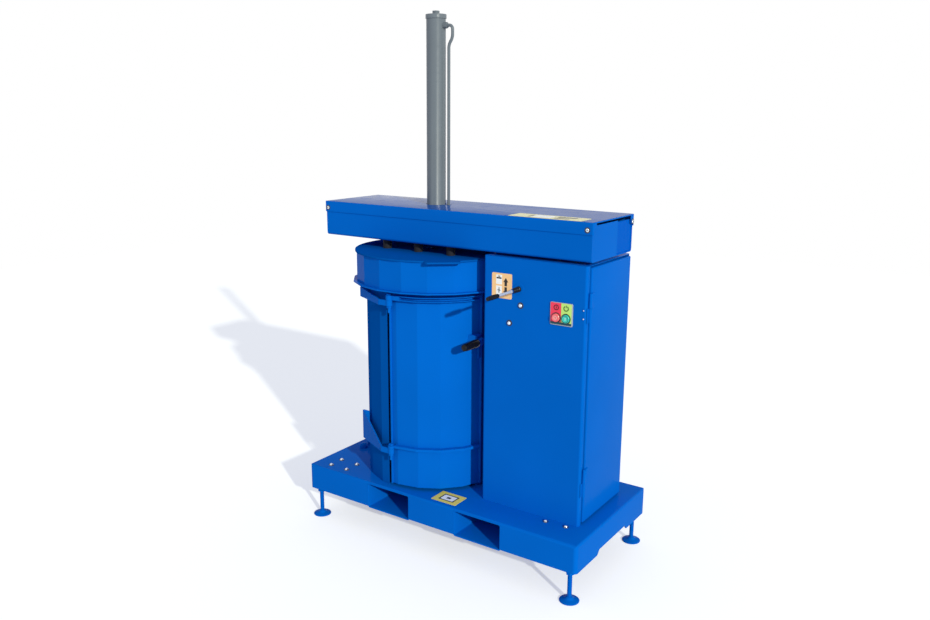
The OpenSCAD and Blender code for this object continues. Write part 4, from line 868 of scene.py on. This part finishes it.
def signs() -> tuple[Sign, ...]:
    """Lays out the three signs.

    Returns:
        The sign behind the hand lever, with a panel and an arrow for each way, the yellow plate on the
        base, with a plain framed field, and the pale strip on the beam's cover.
    """
    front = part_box("cabinet_shell")[0][1]
    base_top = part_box("base_tray")[1][2]
    beam_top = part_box("beam_cover")[1][2]
    return (
        Sign("lever_sign", (0.175, front, 0.967), (0.254, front, 1.053), Ink.ORANGE, (
            Field("panel_up", Ink.WHITE, (0.21, 0.55, 0.5, 0.93)),
            Field("bar_up", Ink.DARK, (0.23, 0.77, 0.48, 0.83)),
            Field("dash_up", Ink.DARK, (0.31, 0.85, 0.41, 0.89)),
            Field("panel_down", Ink.WHITE, (0.21, 0.14, 0.5, 0.49)),
            Field("post_down", Ink.DARK, (0.34, 0.2, 0.38, 0.43)),
            Field("dash_down", Ink.DARK, (0.28, 0.3, 0.44, 0.33)),
            Field("arrow_up", Ink.DARK, (0.57, 0.5, 0.82, 0.82), Shape.ARROW_UP),
            Field("arrow_down", Ink.DARK, (0.57, 0.14, 0.82, 0.46), Shape.ARROW_DOWN))),
        Sign("base_sign", (-0.008, -0.247, base_top), (0.098, -0.17, base_top), Ink.YELLOW, (
            Field("frame", Ink.DARK, (0.2, 0.2, 0.8, 0.8)),
            Field("field", Ink.WHITE, (0.25, 0.27, 0.75, 0.73)),
            Field("mark", Ink.DARK, (0.42, 0.42, 0.58, 0.58))), corner=3 * MM, faces_up=True),
        Sign("beam_sign", (0.225, -0.129, beam_top), (0.495, -0.049, beam_top), Ink.CREAM, (
            Field("mark_left", Ink.DARK, (0.24, 0.2, 0.27, 0.8)),
            Field("field", Ink.WHITE, (0.3, 0.16, 0.55, 0.84)),
            Field("bar_high", Ink.DARK, (0.6, 0.55, 0.86, 0.78)),
            Field("bar_low", Ink.DARK, (0.6, 0.22, 0.8, 0.4))), corner=3 * MM, faces_up=True))


def ring(name: str, middle: Point, radius: float, wire: float, gap: float = 0.0) -> bpy.types.Object:
    """Makes a round-section ring that faces -Y, with an optional gap at its top.

    Args:
        name: the ring's name.
        middle: its middle.
        radius: the radius of its middle line.
        wire: the radius of its section.
        gap: the gap's angle in radians.

    Returns:
        The ring.
    """
    deselect_all()
    bpy.ops.mesh.primitive_circle_add(vertices=WIRE_SIDES, radius=wire, location=(0, 0, radius),
                                      rotation=(0, math.radians(90), 0))
    obj = bpy.context.object
    apply_place(obj)
    edit_all(obj)
    bpy.ops.transform.rotate(value=gap / 2, orient_axis="Y", center_override=(0, 0, 0))
    bpy.ops.mesh.spin(steps=RING_STEPS, angle=math.tau - gap, center=(0, 0, 0), axis=(0, 1, 0))
    close_mesh()
    smooth(obj, RING_SMOOTHING)
    return settle(obj, name, place=middle)


@dataclass(frozen=True)
class SwitchHalf:
    """One half of the switch plate: its colours, its symbol's gap and its bar's lower and upper end."""

    label: str
    ink: Ink
    symbol_ink: Ink
    rim_ink: Ink
    mark_ink: Ink
    gap: float
    bar: tuple[float, float]


@dataclass
class SwitchFace:
    """Coloured halves and foot strip of the switch plate, their symbols and the buttons' rims and marks."""

    film: float = 0.5 * MM
    clearance: float = 1.6 * MM
    cutter_reach: float = 10 * MM
    plate_left: float = 2 * MM
    plate_right: float = 3.5 * MM
    plate_low: float = 11 * MM
    plate_top: float = 1.5 * MM
    foot_low: float = 3 * MM
    shade_ring_room: float = 1.4 * MM
    shade_ring_wire: float = 1.8 * MM
    shade_ring_proud: float = 0.4 * MM
    symbol_height: float = 0.964
    symbol_radius: float = 8 * MM
    symbol_wire: float = 1.6 * MM
    bar_side: float = 1.4 * MM
    bar_proud: float = 0.6 * MM
    bar_edge: float = 0.3 * MM
    rim_inset: float = 2.4 * MM
    rim_wire: float = 1.0 * MM
    mark_radius: float = 5 * MM
    mark_wire: float = 1.1 * MM
    mark_sunk: float = 0.5 * MM
    mark_bar: tuple[float, float] = (0.7 * MM, 2 * MM)
    mark_edge: float = 0.4 * MM
    halves: tuple[SwitchHalf, ...] = (
        SwitchHalf("stop", Ink.RED, Ink.CRIMSON, Ink.RED, Ink.PINK, 0.0, (-3.5 * MM, 3.5 * MM)),
        SwitchHalf("start", Ink.LIME, Ink.LEAF, Ink.TEAL, Ink.MINT, math.radians(70), (2 * MM, 10.5 * MM)))

    def half(self, half: SwitchHalf, low_x: float, high_x: float) -> None:
        """Models one coloured half with a hole, and a dark ring round its button that is painted shade in
        the gap between button and plate.

        Args:
            half: the half.
            low_x: its left edge.
            high_x: its right edge.
        """
        low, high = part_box("switch_housing")
        button = f"{half.label}_button"
        x, _, z = middle_of(button)
        radius = radius_of(button)
        # Painted shade: a dark ring round the button darkens the gap between button and plate.
        shade_ring = ring(f"switch_collar_{half.label}", (x, low[1] - self.shade_ring_proud, z),
                      radius + self.shade_ring_room, self.shade_ring_wire)
        hand_over(shade_ring, "frame", Ink.DARK)
        plate = block(f"switch_half_{half.label}", (low_x, low[1] - self.film, low[2] + self.plate_low),
                      (high_x, low[1], high[2] - self.plate_top))
        radius += self.clearance
        cutter = turned("cutter", ((radius, -self.cutter_reach), (radius, self.cutter_reach)),
                        FINE_ROUND)
        settle(cutter, "cutter", TO_FRONT, (x, low[1], z))
        cut_out(plate, cutter)
        smooth(plate, PLATE_SMOOTHING)
        hand_over(plate, "frame", half.ink)

    def symbol(self, half: SwitchHalf) -> None:
        """Adds the printed symbol above one button, a ring with a bar.

        Args:
            half: the button's half.
        """
        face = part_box("switch_housing")[0][1] - self.film
        x, z = middle_of(f"{half.label}_button")[0], self.symbol_height
        outline = ring(f"switch_symbol_{half.label}", (x, face, z), self.symbol_radius, self.symbol_wire,
                       half.gap)
        hand_over(outline, "frame", half.symbol_ink)
        bar = block(f"switch_bar_{half.label}", (x - self.bar_side, face - self.bar_proud, z + half.bar[0]),
                    (x + self.bar_side, face, z + half.bar[1]))
        finish_with(bar, "BEVEL", width=self.bar_edge, segments=BEVEL_SEGMENTS)
        hand_over(bar, "frame", half.symbol_ink)

    def marks(self, half: SwitchHalf) -> None:
        """Adds the moulded rim of one button and its mark, a ring to stop and a bar to start.

        Args:
            half: the button's half.
        """
        button = f"{half.label}_button"
        x, _, z = middle_of(button)
        face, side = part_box(button)[0][1], self.bar_side
        rim = ring(f"{button}_rim", (x, face + self.mark_sunk, z), radius_of(button) - self.rim_inset,
                   self.rim_wire)
        hand_over(rim, button, half.rim_ink)
        if half.label == "stop":
            mark = ring(f"{button}_mark", (x, face + self.mark_sunk, z), self.mark_radius, self.mark_wire)
        else:
            mark = block(f"{button}_mark", (x - side, face + self.mark_bar[0], z - self.mark_radius),
                         (x + side, face + self.mark_bar[1], z + self.mark_radius))
            finish_with(mark, "BEVEL", width=self.mark_edge, segments=BEVEL_SEGMENTS)
        hand_over(mark, button, half.mark_ink)

    def build(self) -> None:
        """Models the foot strip and both halves."""
        low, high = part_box("switch_housing")
        left, middle, right = low[0] + self.plate_left, (low[0] + high[0]) / 2, high[0] - self.plate_right
        foot = block("switch_foot", (left, low[1] - self.film, low[2] + self.foot_low),
                     (right, low[1], low[2] + self.plate_low))
        hand_over(foot, "frame", Ink.TEAL)
        for half, (low_x, high_x) in zip(self.halves, ((left, middle), (middle, right))):
            self.half(half, low_x, high_x)
            self.symbol(half)
            self.marks(half)


@dataclass
class HandLever:
    """Hand lever with its joint ball and shield, ribbed boot, nut, plated rod and moulded grip.

    The profiles are pairs of radius and height; the grip's ends are pairs of what their radius has
    past the rod's and their distance from the grip's end. All are in millimetres.
    """

    rod_radius: float = 4.5 * MM
    rod_short: float = 20 * MM
    ball_radius: float = 8.5 * MM
    shield_profile: tuple[Point, ...] = (
        (9.7, 0.05), (20, 0.05), (20, 0.7), (19.4, 1.2), (9.7, 1.2), (9.7, 0.05))
    boot_start: float = 9 * MM
    boot_length: float = 34 * MM
    boot_root: float = 9.5 * MM
    boot_tip: float = 7.6 * MM
    boot_end: float = 1 * MM
    ribs: int = 4
    rib_depth: float = 2 * MM
    rib_places: tuple[float, float, float] = (0.25, 0.5, 0.8)
    nut_profile: tuple[Point, ...] = ((4.5, 0), (6.2, 0.1), (7.2, 1), (7.2, 8), (6.2, 8.9), (4.5, 9))
    grip_length: float = 66 * MM
    grip_ribs: int = 9
    grip_first: float = 6 * MM
    grip_pitch: float = 5.5 * MM
    grip_wall: float = 2.6 * MM
    grip_belly: float = 0.9 * MM
    groove_depth: float = 0.8 * MM
    groove_places: tuple[float, float] = (3 * MM, 4.2 * MM)
    grip_start: tuple[Point, ...] = ((0.6, 0), (2.4, 2))
    grip_end: tuple[Point, ...] = ((2.4, 6), (1.2, 2), (-1, 0.5), (-3.5, 0))

    def mount(self, obj: bpy.types.Object, choice: Enum, start: float = 0.0,
              body: str = "control_lever") -> bpy.types.Object:
        """Turns a piece from +Z to the lever's direction, puts it on the lever and hands it over.

        Args:
            obj: the piece.
            choice: its finish.
            start: its distance from the cabinet's front.
            body: the body that it rides on.

        Returns:
            The piece in place.
        """
        x, _, z = middle_of("control_lever")
        place = (x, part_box("cabinet_shell")[0][1] - start, z)
        return hand_over(settle(obj, obj.name, TO_FRONT, place), body, choice)

    def boot(self) -> bpy.types.Object:
        """Models the boot, whose ribs grow smaller towards the rod.

        Returns:
            The boot about +Z.
        """
        pitch = self.boot_length / self.ribs
        rings = [(self.boot_root - self.rib_depth, 0.0)]
        for index in range(self.ribs):
            radius = self.boot_root + (self.boot_tip - self.boot_root) * index / self.ribs
            rise, crest, valley = [(index + place) * pitch for place in self.rib_places]
            rings += [(radius, rise), (radius, crest), (radius - self.rib_depth, valley)]
        rings += [(self.boot_tip - self.boot_end, self.boot_length - self.boot_end),
                  (self.rod_radius, self.boot_length)]
        return turned("lever_boot", rings, ROUND)

    def grip(self) -> bpy.types.Object:
        """Models the grip, bellied and ribbed, with a domed end.

        Returns:
            The grip about +Z.
        """
        rod, end = self.rod_radius, self.grip_length
        rings = [(rod + past * MM, z * MM) for past, z in self.grip_start]
        for index in range(self.grip_ribs):
            z = self.grip_first + self.grip_pitch * index
            belly = self.grip_belly * math.sin(math.pi * index / (self.grip_ribs - 1))
            radius = rod + self.grip_wall + belly
            rings += [(radius, z), (radius, z + self.groove_places[0]),
                      (radius - self.groove_depth, z + self.groove_places[1])]
        rings += [(rod + past * MM, end - before * MM) for past, before in self.grip_end]
        return turned("lever_handle", rings, ROUND)

    def build(self) -> None:
        """Models the lever."""
        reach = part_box("cabinet_shell")[0][1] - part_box("lever_grip")[0][1]
        ball = turned("lever_ball", arc(self.ball_radius, self.ball_radius, BALL_ANGLES), ROUND)
        self.mount(ball, Coat.BLACKED_STEEL)
        rod = turned("lever_rod", ((self.rod_radius, 0.0), (self.rod_radius, reach - self.rod_short)),
                     ROUND)
        self.mount(rod, Extra.PLATED_ROD)
        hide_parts("control_lever")
        shield = in_mm("lever_shield", self.shield_profile, FINE_ROUND)
        self.mount(shield, Coat.BLUE_ENAMEL, body="frame")
        self.mount(self.boot(), Coat.BLACK_MOULDED, self.boot_start)
        nut = in_mm("lever_nut", self.nut_profile, HEXAGON)
        self.mount(nut, Coat.ZINC, self.boot_start + self.boot_length)
        grip = self.mount(self.grip(), Coat.BLACK_MOULDED, reach - self.grip_length)
        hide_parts("lever_grip")


@dataclass(frozen=True)
class CapGroup:
    """Caps of one size, their node, the head's height under them, and the widths of screw that get them.

    An axis of -1 is found from the screw's own proportions. Caps with a shank replace their node.
    """

    node: str
    radius: float
    height: float
    head: float
    narrowest: float
    widest: float
    washer: bool = True
    recessed: bool = False
    upward: bool = False
    axis: int = -1
    shank: float = 0.0


@dataclass
class CappedScrews:
    """Dome caps over the screws of the cabinet and the beam's cover and over the base's bolts.

    All but the small ones at the cabinet's edge stand on a dark washer, which also paints the shade round
    each head; its profile has pairs in millimetres of what its radius has past the cap's and its height.
    """

    cap_foot: float = 0.4 * MM
    cap_side: float = 0.8 * MM
    washer_profile: tuple[Point, ...] = (
        (-2, 0.05), (2.9, 0.05), (3.2, 0.4), (3, 1.3), (-2, 1.3), (-2, 0.05))
    washer_sides: int = 40
    recess: float = 2.3 * MM
    recess_depth: float = 1.6 * MM
    cutter_past: float = 2 * MM
    recess_shade_share: float = 0.95
    recess_shade_depths: tuple[float, float] = (1.8 * MM, 1.1 * MM)
    shank_radius: float = 2.98 * MM
    rim_share: float = 0.45
    groups: tuple[CapGroup, ...] = (
        CapGroup("panel_screws", 7.6 * MM, 7.4 * MM, 6 * MM, 12 * MM, 20 * MM),
        CapGroup("panel_screws", 2.8 * MM, 4.2 * MM, 3 * MM, 8 * MM, 12 * MM, washer=False, axis=1),
        CapGroup("cover_screws", 6.2 * MM, 2.95 * MM, 3 * MM, 10 * MM, 20 * MM, recessed=True,
                 shank=11 * MM),
        CapGroup("base_bolts", 6.4 * MM, 6.5 * MM, 5 * MM, 10 * MM, 40 * MM, upward=True))

    def cap(self, group: CapGroup) -> bpy.types.Object:
        """Makes a domed cap about +Z, with a six-sided recess in its top where the group has one.

        Args:
            group: its group.

        Returns:
            The cap.
        """
        height, shank = group.height, self.shank_radius
        rings = [(shank, -group.shank), (shank, 0.0)] if group.shank else []
        rings.append((group.radius - self.cap_foot, 0.0))
        rings += [(r, self.cap_side + z)
                  for r, z in arc(group.radius, height - self.cap_side, DOME_ANGLES)]
        cap = turned("cap", rings, ROUND)
        if group.recessed:
            depths = (height - self.recess_depth, height + self.cutter_past)
            cut_out(cap, turned("cutter", [(self.recess, z) for z in depths], HEXAGON))
            smooth(cap, RECESS_SMOOTHING)
        return cap

    def head(self, points: Sequence[Vector], group: CapGroup) -> tuple[Vector, Vector] | None:
        """Finds the head of one screw.

        Args:
            points: the screw's points.
            group: the group that it may be in.

        Returns:
            The middle of the head's top and the direction that it faces, or nothing if the screw isn't
            in the group.
        """
        low = Vector([min(point[i] for point in points) for i in range(3)])
        high = Vector([max(point[i] for point in points) for i in range(3)])
        middle, size = (low + high) / 2, high - low
        axis = group.axis
        if axis < 0:
            axis = min(range(3), key=lambda i: abs(size[(i + 1) % 3] - size[(i + 2) % 3]))
        width = size[(axis + 1) % 3]
        rim = [p[axis] for p in points
               if max(abs(p[i] - middle[i]) for i in range(3) if i != axis) > width * self.rim_share]
        side = 1 if sum(rim) / len(rim) > middle[axis] else -1
        looks_up = side > 0 and axis == 2
        if not group.narrowest < width < group.widest or group.upward and not looks_up:
            return None
        middle[axis] = high[axis] if side > 0 else low[axis]
        return middle, Vector([side if i == axis else 0 for i in range(3)])

    def heads(self, group: CapGroup) -> list[tuple[Vector, Vector]]:
        """Finds a group's screws by the loose parts of a merged copy of its node.

        Args:
            group: the group.

        Returns:
            The middle of each head's top and the direction that it faces.
        """
        edit_all(copied(frame["nodes"][group.node]))
        bpy.ops.mesh.remove_doubles(threshold=MERGE)
        bpy.ops.mesh.separate(type="LOOSE")
        bpy.ops.object.mode_set(mode="OBJECT")
        found = []
        for part in list(bpy.context.selected_objects):
            points = [part.matrix_world @ vertex.co for vertex in part.data.vertices]
            found.append(self.head(points, group))
            bpy.data.objects.remove(part, do_unlink=True)
        return sorted(filter(None, found), key=lambda head: tuple(round(v, 4) for v in head[0]))

    def build(self) -> None:
        """Puts a cap on every screw, with its dark washer, which also paints the shade round the head, and
        a dark hexagon of painted shade low in its recess.
        """
        count = 0
        for group in self.groups:
            caps = []
            for top, facing in self.heads(group):
                count += 1
                seat = top - facing * group.head
                turn = facing.to_track_quat("Z", "Y").to_euler()
                caps.append(settle(self.cap(group), f"screw_cap_{count}", turn, seat))
                # Painted shade: a dark hexagon low in each recess darkens it.
                if group.recessed:
                    recess_shade = turned("recess_shade", [(self.recess * self.recess_shade_share, group.height - depth)
                                           for depth in self.recess_shade_depths], HEXAGON)
                    hand_over(settle(recess_shade, f"screw_recess_{count}", turn, seat), "frame", Ink.DARK)
                # Painted shade: the dark washer darkens the ring round each head, where the head's shade
                # falls.
                if group.washer:
                    washer = in_mm("washer", self.washer_profile, self.washer_sides, group.radius)
                    settle(washer, f"screw_washer_{count}", turn, seat)
                    hand_over(washer, "frame", Coat.HOSE_RUBBER)
            row = hand_over(joined(f"screw_caps_{group.node}_{count}", caps), "frame", Extra.BRIGHT_CAP)
            if group.shank:
                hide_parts(group.node)


@dataclass
class LevellingFeet:
    """The four feet, each with a domed pad and a threaded rod that fits the nuts' bores.

    The profiles are pairs in millimetres: inset from the pad's edge and height, then radius and height.
    """

    rod_radius: float = 7.98 * MM
    core_depth: float = 1.1 * MM
    core_start: float = 15.6 * MM
    tip_height: float = 1.5 * MM
    tip_inset: float = 1.2 * MM
    pitch: float = 2 * MM
    ridge: float = 0.75 * MM
    ridge_steps: int = 14
    thread_start: float = 16 * MM
    thread_end: float = 4 * MM
    edge_profile: tuple[Point, ...] = ((1.5, 0), (0.4, 0.4), (0, 1.4), (0, 3.2), (1.2, 4.4), (6, 5.6))
    pad_sides: int = 56
    hub_profile: tuple[Point, ...] = ((18, 8.4), (14, 10.5), (12.2, 13.5), (9.5, 15.2))
    corners: tuple[str, ...] = ("front_left", "front_right", "rear_left", "rear_right")

    def thread(self, low: float, high: float) -> bpy.types.Object:
        """Makes the thread's ridge as a helix.

        Args:
            low: its lower end.
            high: its upper end.

        Returns:
            The ridge.
        """
        deselect_all()
        bpy.ops.mesh.primitive_circle_add(vertices=3, radius=self.ridge, rotation=TO_FRONT)
        obj = bpy.context.object
        bpy.ops.object.transform_apply(rotation=True)
        obj.rotation_euler = (0, math.radians(90), 0)
        obj.location = (self.rod_radius - self.ridge, 0, low)
        apply_place(obj)
        turns = int((high - low) / self.pitch)
        finish_with(obj, "SCREW", screw_offset=self.pitch, iterations=turns, steps=self.ridge_steps,
                    render_steps=self.ridge_steps, use_merge_vertices=True)
        return obj

    def foot(self) -> bpy.types.Object:
        """Models a foot about the Z axis.

        Returns:
            The foot.
        """
        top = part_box("foot_front_left")[1][2]
        edge, core = radius_of("foot_front_left"), self.rod_radius - self.core_depth
        rings = [(edge - inset * MM, z * MM) for inset, z in self.edge_profile]
        rings += [(radius * MM, z * MM) for radius, z in self.hub_profile]
        rings += [(core, self.core_start), (core, top - self.tip_height), (core - self.tip_inset, top)]
        pad = turned("foot_pad", rings, self.pad_sides)
        return joined("foot", [pad, self.thread(self.thread_start, top - self.thread_end)])

    def build(self) -> None:
        """Models one foot and copies it to each corner."""
        pattern = self.foot()
        for corner in self.corners:
            foot = copied(pattern)
            x, y, _ = middle_of(f"foot_{corner}")
            settle(foot, f"levelling_foot_{corner}", place=(x, y, 0))
            smooth(foot)
            hand_over(foot, f"foot_{corner}", Coat.BLUE_ENAMEL)
            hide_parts(f"foot_{corner}")
        bpy.data.objects.remove(pattern, do_unlink=True)


@dataclass
class Studio:
    """Camera, lamps, world and floor."""

    eye: tuple[float, float, float] = (1.71193, -2.55918, 1.58)
    yaw: float = 0.597957
    pitch: float = 0.226427
    roll: float = 0.00564355
    focal_px: float = 858.732
    frame_px: float = 930.0
    sensor_mm: float = 36.0
    key_from: tuple[float, float] = (0.86, -0.51)
    key_height: float = math.radians(21)
    key_strength: float = 2.75
    key_tint: Colour = (1.0, 1.0, 0.86)
    key_softness: float = math.radians(1.4)
    ambient: float = 0.54
    ambient_tint: Colour = (0.76, 0.83, 1.0)
    floor_side: float = 14.0
    floor_colour: Colour = (0.8, 0.8, 0.8)
    floor_lift: float = 0.45
    far_end: float = 50.0

    def camera(self) -> None:
        """Places the camera of the photograph's viewing angle."""
        data = bpy.data.cameras.new("view")
        data.sensor_fit = "HORIZONTAL"
        data.sensor_width = self.sensor_mm
        data.lens = self.sensor_mm * self.focal_px / self.frame_px
        data.clip_end = self.far_end
        camera = bpy.data.objects.new("view", data)
        bpy.context.scene.collection.objects.link(camera)
        flat = math.cos(self.pitch)
        ahead = Vector((-math.sin(self.yaw) * flat, math.cos(self.yaw) * flat, -math.sin(self.pitch)))
        right = Vector((math.cos(self.yaw), math.sin(self.yaw), 0))
        up = right.cross(ahead)
        level = right * math.cos(self.roll) + up * math.sin(self.roll)
        upright = up * math.cos(self.roll) - right * math.sin(self.roll)
        turn = Matrix((level, upright, -ahead)).transposed()
        camera.matrix_world = Matrix.Translation(self.eye) @ turn.to_4x4()
        bpy.context.scene.camera = camera

    def key_lamp(self) -> None:
        """Adds the key lamp."""
        data = bpy.data.lights.new("key", "SUN")
        data.energy = self.key_strength
        data.color = self.key_tint
        data.angle = self.key_softness
        lamp = bpy.data.objects.new("key", data)
        bpy.context.scene.collection.objects.link(lamp)
        x, y = self.key_from
        towards = Vector((x, y, math.tan(self.key_height) * math.hypot(x, y)))
        lamp.rotation_euler = towards.to_track_quat("Z", "Y").to_euler()

    def world(self) -> None:
        """Sets even ambient light, with a white surround where it is seen or mirrored."""
        graph = ShaderGraph(bpy.data.worlds.new("studio"), "ShaderNodeOutputWorld")
        bpy.context.scene.world = graph.owner
        light = graph.add("ShaderNodeBackground", {
            "Color": (*self.ambient_tint, 1), "Strength": self.ambient})
        seen = graph.add("ShaderNodeBackground", {"Color": (1, 1, 1, 1)})
        mix = graph.add("ShaderNodeMixShader")
        graph.join(graph.shown_rays(), mix.inputs["Fac"])
        graph.join(light.outputs["Background"], mix.inputs[1])
        graph.join(seen.outputs["Background"], mix.inputs[2])
        graph.join(mix.outputs["Shader"], graph.output.inputs["Surface"])

    def floor(self) -> None:
        """Lays the pale floor, lifted to white where it is seen, with the object's shadow kept."""
        deselect_all()
        bpy.ops.mesh.primitive_plane_add(size=self.floor_side, location=(0, 0, 0))
        floor = bpy.context.object
        floor.name = "studio_floor"
        graph = ShaderGraph(bpy.data.materials.new("pale_floor"))
        diffuse = graph.add("ShaderNodeBsdfDiffuse", {"Color": (*self.floor_colour, 1)})
        lift = graph.add("ShaderNodeEmission")
        total = graph.add("ShaderNodeAddShader")
        amount = graph.add("ShaderNodeMath")
        amount.operation = "MULTIPLY"
        amount.inputs[1].default_value = self.floor_lift
        graph.join(graph.shown_rays(), amount.inputs[0])
        graph.join(amount.outputs["Value"], lift.inputs["Strength"])
        graph.join(diffuse.outputs["BSDF"], total.inputs[0])
        graph.join(lift.outputs["Emission"], total.inputs[1])
        graph.join(total.outputs["Shader"], graph.output.inputs["Surface"])
        floor.data.materials.append(graph.owner)

    def build(self) -> None:
        """Sets up the whole studio."""
        bpy.context.scene.view_settings.view_transform = "Standard"
        self.camera()
        self.key_lamp()
        self.world()
        self.floor()


def main() -> None:
    """Builds the scene."""
    logging.basicConfig(level=logging.INFO, format="%(name)s %(message)s")
    Studio().build()
    CappedScrews().build()
    DressedFrame().build()
    for sign in signs():
        sign.build()
    SwitchFace().build()
    HandLever().build()
    LevellingFeet().build()


if __name__ == "__main__":
    main()
